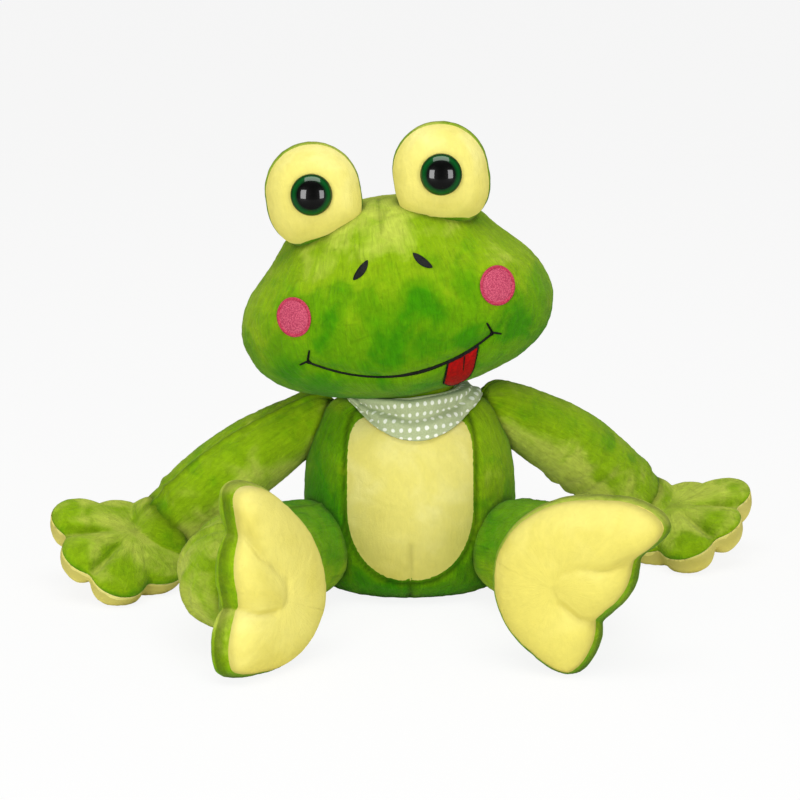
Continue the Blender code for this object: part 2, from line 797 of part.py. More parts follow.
def lobe_root(name, grow, parent, count=16, levels=8):
    """The round root of a stalk, turned about the X axis that it flops on."""
    points = []
    for level in range(1, levels):
        tip = math.pi * level / levels
        x = -(LOBE_ROOT_WIDTH / 2 + grow) * math.cos(tip)
        radius = (LOBE_THICKNESS / 2 + grow) * math.sin(tip) ** LOBE_ROOT_POWER
        for i in range(count):
            turn = math.tau * i / count
            points.append(Vector((x, radius * math.cos(turn), radius * math.sin(turn))))
    end = Vector((LOBE_ROOT_WIDTH / 2 + grow, 0, 0))
    return closed_tube(name, points, count, (-end, end), "green_plush", parent)


def joined_faces(*pieces):
    """Points and faces of pieces that share a parent, as one set."""
    points, faces = [], []
    for piece in pieces:
        first = len(points)
        points += [v.co for v in piece.data.vertices]
        faces += [tuple(first + k for k in f.vertices) for f in piece.data.polygons]
    return points, faces


def stalk_and_eye(side, sign):
    place = Vector((sign * LOBE_SIDE_SHARES[side] * HEAD_WIDTH, -LOBE_FORWARD, LOBE_BASE_HEIGHT))
    joint = add_empty("eye_joint_" + side, Matrix.Translation(place), head_frame)
    lobe = lobe_form("eye_stalk_" + side, 0, 0, joint)
    root = as_cutter(lobe_root("stalk_root_" + side, 0, joint))
    joined = lobe.modifiers.new("root", "BOOLEAN")
    joined.operation = "UNION"
    joined.solver = "EXACT"
    joined.object = root
    cut(head, as_cutter(lobe_root("stalk_trough_" + side, BALL_GAP, joint)))
    cut(head, as_cutter(lobe_form("stalk_slot_" + side, BALL_GAP, LOBE_FLOP, joint)))
    centre_up = LOBE_HEIGHT - LOBE_WIDTH / 2
    front = Vector((0, -LOBE_THICKNESS, centre_up))

    def edge(turn):
        reach = LOBE_WIDTH / 2 * EYE_FIELD_SHARE
        down = reach if turn < math.pi else EYE_FIELD_DROP
        return front + Vector((reach * math.cos(turn), 0, down * math.sin(turn)))

    seat = outside_in(*joined_faces(lobe, root))
    field = draped_oval(
        "eye_field_" + side, front, edge, seat, "yellow_plush", PANEL_THICKNESS, joint, 4, 18
    )
    eye_up = centre_up - EYE_DROP
    eye_back = -LOBE_THICKNESS / 2 - PANEL_GAP - PANEL_THICKNESS - FIT_GAP
    eye_place = add_empty("eye_place_" + side, Matrix.Translation(Vector((0, eye_back, eye_up))), joint)
    radius, stem = EYE_DIAMETER / 2, EYE_STEM_DIAMETER / 2
    profile = [(0, EYE_STEM_LENGTH), (stem, EYE_STEM_LENGTH), (stem, 0), (radius, 0), (radius, -EYE_RIM)]
    for step in range(1, EYE_DOME_STEPS):
        tip = math.pi / 2 * step / EYE_DOME_STEPS
        profile.append((radius * math.cos(tip), -EYE_RIM - (EYE_DOME - EYE_RIM) * math.sin(tip)))
    profile.append((0, -EYE_DOME))
    turned("eye_" + side, profile, "eye_plastic", eye_place)
    washer_front = EYE_STEM_LENGTH - WASHER_FROM_END
    washer_back = washer_front - WASHER_THICKNESS
    washer, bore = WASHER_DIAMETER / 2, stem + FIT_GAP
    rows = [(washer, washer_front), (bore, washer_front), (bore, washer_back), (washer, washer_back)]
    turned("eye_washer_" + side, rows, "washer_plastic", eye_place)
    pocket_end = EYE_STEM_LENGTH + FIT_GAP
    rows = [
        (0, pocket_end),
        (washer + FIT_GAP, pocket_end),
        (washer + FIT_GAP, washer_back - FIT_GAP),
        (bore, washer_back - FIT_GAP),
        (bore, -OVERRUN),
        (0, -OVERRUN),
    ]
    pocket = as_cutter(turned("eye_pocket_" + side, rows, "washer_plastic", eye_place))
    cut(lobe, pocket)
    cut(field, pocket)


for side, sign in (("left", 1), ("right", -1)):
    stalk_and_eye(side, sign)


def on_body_side(way, height, standoff, back=0):
    """A joint's centre, standoff outside the body's surface in the given level direction."""
    outward = Vector((*way, 0)).normalized()
    place, _ = on_torso(Vector((0, back, height)) + outward * TORSO_WIDTH, -outward)
    return place + outward * standoff


def arm_and_hand(side, pose):
    way = (pose["sign"], 0)
    shoulder = on_body_side(
        way, TORSO_HEIGHT - pose["shoulder_drop"], SHOULDER_STANDOFF, SHOULDER_BACK
    )
    edge = lobed_outline(
        HAND_PALM_RADIUS, HAND_FINGER_ANGLES, HAND_FINGER_REACH_SHARES, HAND_FINGER_RADIUS_SHARES
    )
    turns = [math.tau * i / PAD_COUNT for i in range(PAD_COUNT)]
    mirrored = pose["sign"] < 0
    frame = frame_of((*pose["hand"], 0), pose["finger_way"], pose["palm_normal"])
    frame = on_floor(frame, edge, turns, HAND_THICKNESS, mirrored)
    wrist_local = Vector((WRIST_INSET - HAND_PALM_RADIUS, 0, WRIST_RISE))
    wrist = frame @ wrist_local
    shoulder_joint = add_empty("shoulder_joint_" + side, Matrix.Translation(shoulder))
    level = Vector((wrist.x - shoulder.x, wrist.y - shoulder.y, 0))
    elbow = shoulder + level * ARM_LEVEL_SHARE - Vector((0, 0, ELBOW_DROP))
    radii = (SHOULDER_RADIUS, ARM_RADIUS, WRIST_RADIUS)
    limb("arm_" + side, (shoulder, elbow, wrist), radii, "green_plush", shoulder_joint)
    bend = shoulder_joint.matrix_world.inverted() @ frame @ Matrix.Translation(wrist_local)
    wrist_joint = add_empty("wrist_joint_" + side, bend, shoulder_joint)
    local = add_empty("hand_frame_" + side, Matrix.Translation(-wrist_local), wrist_joint)
    names = ("hand_" + side, "palm_" + side)
    hand, palm = pad_pair(names, edge, turns, HAND_NOTCHES, HAND_THICKNESS, local, mirrored)
    socket = as_cutter(sphere("shoulder_dimple_" + side, SHOULDER_RADIUS + BALL_GAP, shoulder, "green_plush"))
    cut(torso, socket)
    cut(scarf, socket)
    wrist_cup = as_cutter(sphere("wrist_dimple_" + side, WRIST_RADIUS + BALL_GAP, wrist, "green_plush"))
    for piece in (hand, palm):
        cut(piece, wrist_cup)
        cut(piece, floor_cutter)


def leg_and_foot(side, pose):
    hip = on_body_side(pose["hip_way"], HIP_HEIGHT, HIP_STANDOFF)
    turns = [math.radians(turn) for turn in FOOT_TURNS]
    edge = table_outline(FOOT_HEEL_RADIUS, turns, FOOT_REACH_SHARES)
    mirrored = pose["sign"] > 0
    frame = frame_of((*pose["foot"], 0), pose["toe_way"], pose["sole_normal"])
    frame = on_floor(frame, edge, turns, FOOT_THICKNESS, mirrored)
    ankle_local = Vector((0, 0, FOOT_THICKNESS / 2 + ANKLE_STANDOFF))
    ankle = frame @ ankle_local
    hip_joint = add_empty("hip_joint_" + side, Matrix.Translation(hip))
    knee = frame @ (ankle_local + Vector((0, 0, pose["shin_length"]))) + Vector((0, 0, pose["knee_rise"]))
    radii = (HIP_RADIUS, LEG_RADIUS, ANKLE_RADIUS)
    leg = limb("leg_" + side, (hip, knee, ankle), radii, "green_plush", hip_joint)
    cut(leg, floor_cutter)
    bend = hip_joint.matrix_world.inverted() @ frame @ Matrix.Translation(ankle_local)
    ankle_joint = add_empty("ankle_joint_" + side, bend, hip_joint)
    local = add_empty("foot_frame_" + side, Matrix.Translation(-ankle_local), ankle_joint)
    names = ("foot_" + side, "sole_" + side)
    foot, sole = pad_pair(names, edge, turns, FOOT_NOTCHES, FOOT_THICKNESS, local, mirrored)
    socket = as_cutter(sphere("hip_dimple_" + side, HIP_RADIUS + BALL_GAP, hip, "green_plush"))
    cut(torso, socket)
    cut(belly, socket)
    ankle_cup = as_cutter(sphere("ankle_dimple_" + side, ANKLE_RADIUS + BALL_GAP, ankle, "green_plush"))
    cut(foot, ankle_cup)
    for piece in (foot, sole):
        cut(piece, floor_cutter)


for side, pose in SIDES.items():
    arm_and_hand(side, pose)
    leg_and_foot(side, pose)
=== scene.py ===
"""Looks of the sitting plush frog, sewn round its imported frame. Metres, +Z up; it faces -Y, its left is +X."""

import json
import math

import bpy
import numpy as np
from mathutils import Matrix, Vector
from mathutils.bvhtree import BVHTree


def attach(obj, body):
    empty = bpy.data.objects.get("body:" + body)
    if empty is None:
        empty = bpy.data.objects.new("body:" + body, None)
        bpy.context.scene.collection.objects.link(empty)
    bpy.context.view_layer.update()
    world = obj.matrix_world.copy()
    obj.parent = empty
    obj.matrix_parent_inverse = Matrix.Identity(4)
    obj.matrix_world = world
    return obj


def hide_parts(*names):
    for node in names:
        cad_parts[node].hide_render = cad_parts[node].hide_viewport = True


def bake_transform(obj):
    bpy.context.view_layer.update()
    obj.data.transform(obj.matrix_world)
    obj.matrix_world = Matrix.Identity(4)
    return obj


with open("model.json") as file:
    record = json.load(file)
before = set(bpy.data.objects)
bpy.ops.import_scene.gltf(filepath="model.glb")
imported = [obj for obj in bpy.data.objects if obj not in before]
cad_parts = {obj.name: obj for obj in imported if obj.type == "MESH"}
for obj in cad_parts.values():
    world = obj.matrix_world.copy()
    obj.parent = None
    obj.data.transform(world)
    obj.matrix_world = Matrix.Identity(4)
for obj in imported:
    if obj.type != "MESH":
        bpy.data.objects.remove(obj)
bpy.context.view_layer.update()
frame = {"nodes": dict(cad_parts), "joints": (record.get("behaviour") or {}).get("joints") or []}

MM = 0.001
TAU = math.tau
JOINT_AT = {j["child"]: np.array(j["pos_m"]) for j in frame["joints"]}


# ---------------------------------------------------------------- cloth and mesh tools


def soft_noise(points, size, seed=0):
    """Smooth lumps from -1 to 1, about the given size in metres."""
    spot = points / size + np.array((13.1, 7.7, 3.3)) * (seed + 1)
    cell = np.floor(spot).astype(np.int64)
    part = spot - cell
    part = part * part * (3 - 2 * part)
    total = np.zeros(len(points))
    for corner in np.ndindex(2, 2, 2):
        c = cell + np.array(corner)
        key = (c[:, 0] * 73856093) ^ (c[:, 1] * 19349663) ^ (c[:, 2] * 83492791)
        key = ((key ^ (key >> 13)) * 1274126177) & 0xFFFFFFFF
        key = ((key ^ (key >> 16)) * 668265263) & 0xFFFFFFFF
        value = ((key >> 8) & 0xFFFF) / 32767.5 - 1
        total += value * np.where(corner, part, 1 - part).prod(axis=1)
    return total


def bell(distance, width):
    return np.exp(-((distance / width) ** 2))


def eased(value, low, high):
    """0 below low, 1 above high, smooth between."""
    share = np.clip((value - low) / (high - low), 0, 1)
    return share * share * (3 - 2 * share)


def through(rows, count):
    """A smooth line of count rows through the given rows of numbers."""
    rows = np.array(rows, float)
    ends = np.vstack((2 * rows[0] - rows[1], rows, 2 * rows[-1] - rows[-2]))
    place = np.linspace(0, len(rows) - 1, count)
    first = np.minimum(place.astype(int), len(rows) - 2)
    t = (place - first)[:, None]
    a, b, c, d = (ends[first + k] for k in range(4))
    return 0.5 * (2 * b + (c - a) * t + (2 * a - 5 * b + 4 * c - d) * t**2 + (3 * b - a - 3 * c + d) * t**3)


def from_line(points, line):
    """Distance of each point from a line of points."""
    best = np.full(len(points), np.inf)
    for a, b in zip(line, line[1:]):
        run = b - a
        share = np.clip(((points - a) @ run) / max(run @ run, 1e-12), 0, 1)
        best = np.minimum(best, np.linalg.norm(points - a - share[:, None] * run, axis=1))
    return best


def add_mesh(name, points, faces):
    mesh = bpy.data.meshes.new(name)
    mesh.from_pydata(np.asarray(points, float).tolist(), [], faces)
    mesh.shade_smooth()
    made = bpy.data.objects.new(name, mesh)
    bpy.context.scene.collection.objects.link(made)
    return made


def points_of(piece):
    found = np.empty(len(piece.data.vertices) * 3)
    piece.data.vertices.foreach_get("co", found)
    return found.reshape(-1, 3)


def set_points(piece, points):
    piece.data.vertices.foreach_set("co", np.asarray(points, float).ravel())
    piece.data.update()


def outward(piece):
    found = np.empty(len(piece.data.vertices) * 3)
    piece.data.vertex_normals.foreach_get("vector", found)
    return found.reshape(-1, 3)


def push(piece, amount):
    """Moves each point out along its normal."""
    set_points(piece, points_of(piece) + outward(piece) * np.asarray(amount)[:, None])


def mark(piece, name, values):
    """Keeps numbers on the points for the materials: one or three a point."""
    values = np.asarray(values, np.float32)
    kind = "FLOAT" if values.ndim == 1 else "FLOAT_VECTOR"
    layer = piece.data.attributes.get(name) or piece.data.attributes.new(name, kind, "POINT")
    layer.data.foreach_set("value" if kind == "FLOAT" else "vector", values.ravel())


def marked(piece, name):
    layer = piece.data.attributes.get(name)
    found = np.zeros(len(piece.data.vertices), np.float32)
    if layer:
        layer.data.foreach_get("value", found)
    return found


# Darkens points: dark sewn seams, and painted shade in folds, finger and toe valleys and where parts meet.
def darken(piece, values):
    mark(piece, "seam", np.maximum(marked(piece, "seam"), values))


def dye(piece, spots, base, patches):
    """Lighter or darker colour and painted light: patches are (place, radius, amount) round places, and tops are
    painted paler than undersides, as light from above would make them.
    """
    total = np.full(len(spots), float(base))
    for place, radius, amount in patches:
        total += amount * bell(np.linalg.norm(spots - np.array(place), axis=1), radius)
    # Painted light: surfaces facing up are made paler and surfaces facing down darker, for the light from above.
    total += 0.55 * (eased(outward(piece)[:, 2], -0.6, 1.0) - 0.45)
    mark(piece, "dye", total)


def tree_of(piece):
    points = [tuple(p) for p in points_of(piece)]
    return BVHTree.FromPolygons(points, [tuple(f.vertices) for f in piece.data.polygons])


def gap_to(piece, tree, reach):
    """Distance of each of the piece's points from a tree's surface, at most reach."""
    found = np.full(len(piece.data.vertices), reach)
    for k, spot in enumerate(points_of(piece)):
        place, _, _, distance = tree.find_nearest(Vector(spot), reach)
        if place is not None:
            found[k] = distance
    return found


def ring_faces(rings, count):
    """Quads between rings of points, with fans to the two end points that follow them."""
    faces = []
    for r in range(rings - 1):
        for i in range(count):
            j = (i + 1) % count
            faces.append((r * count + i, r * count + j, (r + 1) * count + j, (r + 1) * count + i))
    last, start, end = (rings - 1) * count, rings * count, rings * count + 1
    for i in range(count):
        j = (i + 1) % count
        faces.append((start, j, i))
        faces.append((end, last + i, last + j))
    return faces


def closed_skin(name, rings, low, high):
    """A closed form from rings of points and its two end points."""
    count = rings.shape[1]
    points = np.vstack((rings.reshape(-1, 3), [low], [high]))
    return add_mesh(name, points, ring_faces(len(rings), count))


def stacked(rows, size, bottom, squareness, rings, count):
    """Level rings from rows of (level, width, depth) shares."""
    width, depth, height = size
    level, wide, deep = through(rows, rings + 2)[1:-1].T
    turn = TAU * np.arange(count) / count
    power = 2 / squareness
    c = np.sign(np.cos(turn)) * np.abs(np.cos(turn)) ** power
    s = np.sign(np.sin(turn)) * np.abs(np.sin(turn)) ** power
    x = wide[:, None] * c * width / 2
    y = deep[:, None] * s * depth / 2
    z = np.repeat((bottom + level * height)[:, None], count, axis=1)
    return np.stack((x, y, z), axis=2)


def smoothed(edge, rounds, own_weight):
    """A closed outline with each reach drawn towards its two neighbours."""
    for _ in range(rounds):
        edge = (np.roll(edge, 1) + own_weight * edge + np.roll(edge, -1)) / (2 + own_weight)
    return edge


def above_floor(piece, level):
    """Lifts what lies below a level, where the piece rests on the floor."""
    spots = points_of(piece)
    spots[:, 2] = np.maximum(spots[:, 2], level)
    set_points(piece, spots)


def placed(matrix, points):
    a = np.array(matrix)
    return np.asarray(points) @ a[:3, :3].T + a[:3, 3]


def fuzz(piece, seed, lump=0.7 * MM, pile=0.26 * MM):
    """Stuffing lumps and the uneven tips of the pile."""
    spots = points_of(piece)
    push(
        piece,
        lump * (0.6 * soft_noise(spots, 26 * MM, seed) + 0.4 * soft_noise(spots, 12 * MM, seed + 5))
        + pile * soft_noise(spots, 2.2 * MM, seed + 9),
    )


def dressed(piece, finish, slot, body, *nodes, fill=None):
    """Finish, record slot (not used), body and the CAD nodes that the piece stands for."""
    piece.data.materials.clear()
    piece.data.materials.append(finish)
    if isinstance(body, str):
        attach(piece, body)
    if nodes:
        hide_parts(*nodes)
    return piece


# ---------------------------------------------------------------- finishes


def linear(hex_colour):
    """An sRGB hex colour as linear RGBA."""
    parts = [int(hex_colour[k : k + 2], 16) / 255 for k in (1, 3, 5)]
    return (*[p / 12.92 if p <= 0.04045 else ((p + 0.055) / 1.055) ** 2.4 for p in parts], 1)


def add_node(tree, kind, settings=None, **links):
    """Adds one shader node: settings are its properties, links its inputs as values or as (node, output)."""
    node = tree.nodes.new("ShaderNode" + kind)
    for key, value in (settings or {}).items():
        setattr(node, key, value)
    for key, value in links.items():
        socket = node.inputs[int(key[1:])] if key[0] == "_" else node.inputs[key.replace("_", " ")]
        if isinstance(value, tuple) and isinstance(value[0], bpy.types.Node):
            tree.links.new(value[0].outputs[value[1]], socket)
        else:
            socket.default_value = value
    return node


def ramp(tree, source, stops):
    """A colour ramp from (place, hex) stops."""
    node = add_node(tree, "ValToRGB", _0=source)
    bar = node.color_ramp
    bar.interpolation = "EASE"
    while len(bar.elements) > 1:
        bar.elements.remove(bar.elements[-1])
    for k, (place, colour) in enumerate(stops):
        stop = bar.elements[0] if k == 0 else bar.elements.new(place)
        stop.position = place
        stop.color = linear(colour)
    return node


def new_finish(name, roughness, ior=1.5, **sockets):
    made = bpy.data.materials.new(name)
    made.use_nodes = True
    shader = made.node_tree.nodes["Principled BSDF"]
    for key, value in {"Roughness": roughness, "IOR": ior, **sockets}.items():
        shader.inputs[key.replace("_", " ")].default_value = value
    return made, made.node_tree, shader


def plush(name, stops, patch, streak_tone, sheen, bloom, pile_depth):
    """Short-pile plush: knitted polyester with a sheared pile of about 1.5 mm, coloured in soft patches, with painted
    light on the upper sides.

    The eye sees matt mottled colour, fine streaks along the pile, a pale bloom at grazing edges, dark seams, and
    painted light and shade: paler upper sides, darker folds, hollows and meetings of parts."""
    made, tree, shader = new_finish(name, 0.95, 1.46, Sheen_Weight=sheen, Sheen_Roughness=0.5)
    shader.inputs["Sheen Tint"].default_value = linear(bloom)
    shader.inputs["Specular IOR Level"].default_value = 0.06
    marks = ("rest", "nap", "dye", "seam")
    rest, nap, dye, seam = (add_node(tree, "Attribute", {"attribute_name": mark_name}) for mark_name in marks)
    blots = add_node(
        tree, "TexNoise", Vector=(rest, "Vector"), Scale=1 / patch, Detail=3.0, Roughness=0.55, Distortion=0.5
    )
    # Colour patches plus painted light on tops and painted shade on undersides, into the colour ramp.
    tone_mix = add_node(tree, "Math", {"operation": "MULTIPLY_ADD"}, _0=(dye, "Fac"), _1=0.8, _2=(blots, "Fac"))
    colour = ramp(tree, (tone_mix, "Value"), stops)
    combed = add_node(tree, "VectorMath", {"operation": "MULTIPLY"}, _0=(nap, "Vector"), _1=(1 / 4.5, 1.0, 1.0))
    streaks = add_node(
        tree, "TexNoise", Vector=(combed, "Vector"), Scale=1 / (2.0 * MM), Detail=4.0, Roughness=0.62, Distortion=0.9
    )
    tufts = add_node(
        tree, "TexNoise", Vector=(rest, "Vector"), Scale=1 / (6.5 * MM), Detail=4.0, Roughness=0.6, Distortion=1.2
    )
    mixed = add_node(tree, "Math", {"operation": "ADD"}, _0=(streaks, "Fac"), _1=(tufts, "Fac"))
    low, high = 1 - streak_tone, 1 + streak_tone
    tone = add_node(tree, "MapRange", Value=(mixed, "Value"), From_Min=0.7, From_Max=1.3, To_Min=low, To_Max=high)
    # Darker along seams, and painted shade in folds, valleys and where parts meet.
    seam_and_shade_tone = add_node(tree, "Math", {"operation": "MULTIPLY_ADD"}, _0=(seam, "Fac"), _1=-0.6, _2=1.0)
    both = add_node(tree, "Math", {"operation": "MULTIPLY"}, _0=(tone, "Result"), _1=(seam_and_shade_tone, "Value"))
    toned = add_node(tree, "VectorMath", {"operation": "SCALE"}, Vector=(colour, "Color"), Scale=(both, "Value"))
    tree.links.new(toned.outputs["Vector"], shader.inputs["Base Color"])
    grain = add_node(tree, "TexNoise", Vector=(rest, "Vector"), Scale=1 / (0.8 * MM), Detail=2.0, Roughness=0.7)
    relief = add_node(tree, "Math", {"operation": "MULTIPLY_ADD"}, _0=(grain, "Fac"), _1=0.5, _2=(streaks, "Fac"))
    relief = add_node(tree, "Math", {"operation": "ADD"}, _0=(relief, "Value"), _1=(tufts, "Fac"))
    bumped = add_node(tree, "Bump", Height=(relief, "Value"), Strength=0.75, Distance=pile_depth)
    tree.links.new(bumped.outputs["Normal"], shader.inputs["Normal"])
    return made


GREEN_STOPS = ((0.02, "#3a8400"), (0.32, "#5f9402"), (0.62, "#82a60c"), (0.95, "#b2c148"))
YELLOW_STOPS = ((0.10, "#d8cc64"), (0.50, "#e1d673"), (0.90, "#e9e08c"))
green_pile_plush = plush("green_pile_plush", GREEN_STOPS, 20 * MM, 0.21, 0.14, "#e6eeb0", 1.1 * MM)
yellow_pile_plush = plush("yellow_pile_plush", YELLOW_STOPS, 24 * MM, 0.04, 0.05, "#fff0b0", 0.35 * MM)


def satin_stitch(name, dark, light, thread, sheen):
    """Machine embroidery in rayon thread: shiny rows with small dark gaps between the stitches."""
    made, tree, shader = new_finish(name, 0.55, 1.53, Sheen_Weight=sheen, Sheen_Roughness=0.3)
    shader.inputs["Specular IOR Level"].default_value = 0.3
    rest = add_node(tree, "Attribute", {"attribute_name": "rest"})
    rows = add_node(
        tree, "TexVoronoi", {"feature": "F1"}, Vector=(rest, "Vector"), Scale=1 / thread, Randomness=0.85
    )
    colour = ramp(tree, (rows, "Distance"), ((0.1, light), (0.75, dark)))
    tree.links.new(colour.outputs["Color"], shader.inputs["Base Color"])
    bumped = add_node(tree, "Bump", {"invert": True}, Height=(rows, "Distance"), Strength=0.6, Distance=0.4 * MM)
    tree.links.new(bumped.outputs["Normal"], shader.inputs["Normal"])
    return made


rose_embroidery = satin_stitch("rose_embroidery", "#a83050", "#d65e78", 0.7 * MM, 0.05)
rose_edging = satin_stitch("rose_edging", "#a82040", "#cc4662", 0.7 * MM, 0.05)
black_embroidery = satin_stitch("black_embroidery", "#020302", "#0c0f0b", 0.7 * MM, 0.0)


def felt(name, colour, shade):
    """Pressed wool felt: matt, with short matted fibres."""
    made, tree, shader = new_finish(name, 0.85, 1.5, Sheen_Weight=0.02, Sheen_Roughness=0.5)
    shader.inputs["Specular IOR Level"].default_value = 0.15
    rest = add_node(tree, "Attribute", {"attribute_name": "rest"})
    fibres = add_node(tree, "TexNoise", Vector=(rest, "Vector"), Scale=1 / (1.3 * MM), Detail=5.0, Roughness=0.7)
    mixed = ramp(tree, (fibres, "Fac"), ((0.35, shade), (0.6, colour)))
    tree.links.new(mixed.outputs["Color"], shader.inputs["Base Color"])
    bumped = add_node(tree, "Bump", Height=(fibres, "Fac"), Strength=0.4, Distance=0.4 * MM)
    tree.links.new(bumped.outputs["Normal"], shader.inputs["Normal"])
    return made


red_felt = felt("red_felt", "#a80402", "#840302")


def dotted_lawn(name, ground, ground_shade, dot, spacing, radius):
    """Printed cotton lawn: a plain weave about 0.4 mm a thread, drawn at 0.8 mm, with white dots in straight rows."""
    made, tree, shader = new_finish(name, 0.85, 1.5, Sheen_Weight=0.15, Sheen_Roughness=0.5)
    cloth = add_node(tree, "Attribute", {"attribute_name": "cloth"})
    cells = add_node(tree, "VectorMath", {"operation": "SCALE"}, Vector=(cloth, "Vector"), Scale=1 / spacing)
    share = add_node(tree, "VectorMath", {"operation": "FRACTION"}, _0=(cells, "Vector"))
    away = add_node(tree, "VectorMath", {"operation": "DISTANCE"}, _0=(share, "Vector"), _1=(0.5, 0.5, 0.0))
    edge = radius / spacing
    print_share = add_node(
        tree, "MapRange", {"interpolation_type": "SMOOTHSTEP"}, Value=(away, "Value"),
        From_Min=edge * 0.8, From_Max=edge * 1.2, To_Min=1.0, To_Max=0.0,
    )  # fmt: skip
    weave = add_node(tree, "TexNoise", Vector=(cloth, "Vector"), Scale=1 / (0.8 * MM), Detail=2.0, Roughness=0.6)
    ground_colour = ramp(tree, (weave, "Fac"), ((0.3, ground_shade), (0.7, ground)))
    mixed = add_node(
        tree, "Mix", {"data_type": "RGBA"}, _0=(print_share, "Result"), _6=(ground_colour, "Color"), _7=linear(dot)
    )
    tree.links.new(mixed.outputs[2], shader.inputs["Base Color"])
    bumped = add_node(tree, "Bump", Height=(weave, "Fac"), Strength=0.3, Distance=0.2 * MM)
    tree.links.new(bumped.outputs["Normal"], shader.inputs["Normal"])
    return made


dotted_cotton = dotted_lawn("dotted_cotton_lawn", "#bac498", "#abb689", "#f0f2e6", 4.4 * MM, 1.0 * MM)


def eye_acrylic(name):
    """Moulded acrylic safety eye: clear dome over a painted green ring and black pupil, highly polished."""
    made, tree, shader = new_finish(name, 0.35, 1.49, Coat_Weight=1.0, Coat_Roughness=0.03, Coat_IOR=1.49)
    shader.inputs["Specular IOR Level"].default_value = 0.1
    ring = add_node(tree, "Attribute", {"attribute_name": "ring"})
    pupil, iris = ((0.0, "#010101"), (0.66, "#010201")), ((0.70, "#012c0e"), (0.84, "#04521c"), (0.94, "#033c12"))
    colour = ramp(tree, (ring, "Fac"), (*pupil, *iris, (0.99, "#011406")))
    colour.color_ramp.interpolation = "LINEAR"
    tree.links.new(colour.outputs["Color"], shader.inputs["Base Color"])
    return made


eye_finish = eye_acrylic("polished_eye_acrylic")


def moulded_nylon(name, colour):
    """Injection-moulded nylon, slightly waxy, for the locking washers behind the eyes."""
    made, tree, shader = new_finish(name, 0.45, 1.53)
    rest = add_node(tree, "TexCoord")
    flow = add_node(tree, "TexNoise", Vector=(rest, "Object"), Scale=1 / (6 * MM), Detail=2.0)
    mixed = ramp(tree, (flow, "Fac"), ((0.3, "#cfcdc2"), (0.7, colour)))
    tree.links.new(mixed.outputs["Color"], shader.inputs["Base Color"])
    return made


washer_nylon = moulded_nylon("moulded_nylon", "#e2e0d6")

# ---------------------------------------------------------------- body

TORSO_SIZE = (0.114, 0.101, 0.101)
TORSO_ROWS = (
    (0.0, 0.0, 0.0), (0.0, 0.66, 0.60), (0.02, 0.81, 0.75), (0.06, 0.90, 0.86), (0.13, 0.965, 0.95),
    (0.24, 0.995, 0.99), (0.37, 1.0, 1.0), (0.50, 0.995, 0.97), (0.62, 0.975, 0.92), (0.73, 0.93, 0.85),
    (0.83, 0.86, 0.76), (0.91, 0.765, 0.66), (0.965, 0.62, 0.54), (1.0, 0.42, 0.40), (1.0, 0.0, 0.0),
)  # fmt: skip
BELLY_HALF_WIDTH, BELLY_UP, BELLY_DOWN, BELLY_BOTTOM = 0.0347, 0.0468, 0.0410, 0.012
BELLY_ROUNDNESS = {"up": 6.0, "down": 2.15}
SQUARENESS = 2.3


def seen_from_front(piece):
    """Finds the place and normal on a piece behind a front point."""
    tree = tree_of(piece)

    def hit(x, z, matrix=None):
        start, way = Vector((x, -0.2, z)), Vector((0, 1, 0))
        if matrix is not None:
            start, way = matrix @ start, (matrix.to_3x3() @ way).normalized()
        place, normal, _, _ = tree.ray_cast(start, way)
        return np.array(place), np.array(normal)

    return hit


def oval(turn, width, height, squareness=2.0):
    power = 2 / squareness
    c, s = math.cos(turn), math.sin(turn)
    return (
        width / 2 * math.copysign(abs(c) ** power, c),
        height / 2 * math.copysign(abs(s) ** power, s),
    )


def belly_edge(turn, inset=0.0):
    """The belly's edge at a turn from its middle: nearly square above, where the bib hides it, and round below."""
    c, s = math.cos(turn), math.sin(turn)
    power = BELLY_ROUNDNESS["up" if s > 0 else "down"]
    half_height = BELLY_UP if s > 0 else BELLY_DOWN
    total = (abs(c) / (BELLY_HALF_WIDTH - inset)) ** power + (abs(s) / (half_height - inset)) ** power
    reach = total ** (-1 / power)
    return reach * c, reach * s


TORSO_RINGS, TORSO_TURNS = 96, 200
torso_rings = stacked(TORSO_ROWS, TORSO_SIZE, 0, SQUARENESS, TORSO_RINGS, TORSO_TURNS)
torso = closed_skin("torso_plush", torso_rings, (0, 0, 0), (0, 0, TORSO_SIZE[2]))
mark(torso, "rest", points_of(torso))
torso_spots = points_of(torso)
torso_turn = np.arctan2(torso_spots[:, 0], -torso_spots[:, 1])
mark(torso, "nap", np.stack((torso_spots[:, 2], torso_turn * 0.05, 0 * torso_turn), 1))
on_plain_torso = seen_from_front(torso)

belly_middle = BELLY_BOTTOM + BELLY_DOWN
belly_line = []
for k in range(121):
    x, z = belly_edge(TAU * k / 120)
    belly_line.append(on_plain_torso(x, belly_middle + z)[0])
from_belly_line = from_line(torso_spots, belly_line)
turns = np.arctan2(torso_spots[:, 2] - belly_middle, torso_spots[:, 0])
reaches = np.array([math.hypot(*belly_edge(turn)) for turn in turns])
in_belly = (np.hypot(torso_spots[:, 0], torso_spots[:, 2] - belly_middle) < reaches) & (torso_spots[:, 1] < 0)
sunk = np.where(in_belly, -1.6 * MM * eased(from_belly_line, 0, 3 * MM), 0)
push(torso, sunk - 1.3 * MM * bell(from_belly_line, 1.7 * MM) + 0.7 * MM * bell(from_belly_line, 7 * MM))
darken(torso, bell(from_belly_line, 1.3 * MM))
bottom_seam = np.array([on_plain_torso(0, z)[0] for z in np.linspace(0.0015, BELLY_BOTTOM + 0.001, 8)])
from_bottom = from_line(torso_spots, bottom_seam)
push(torso, -1.1 * MM * bell(from_bottom, 1.3 * MM))
darken(torso, 0.8 * bell(from_bottom, 1.0 * MM))
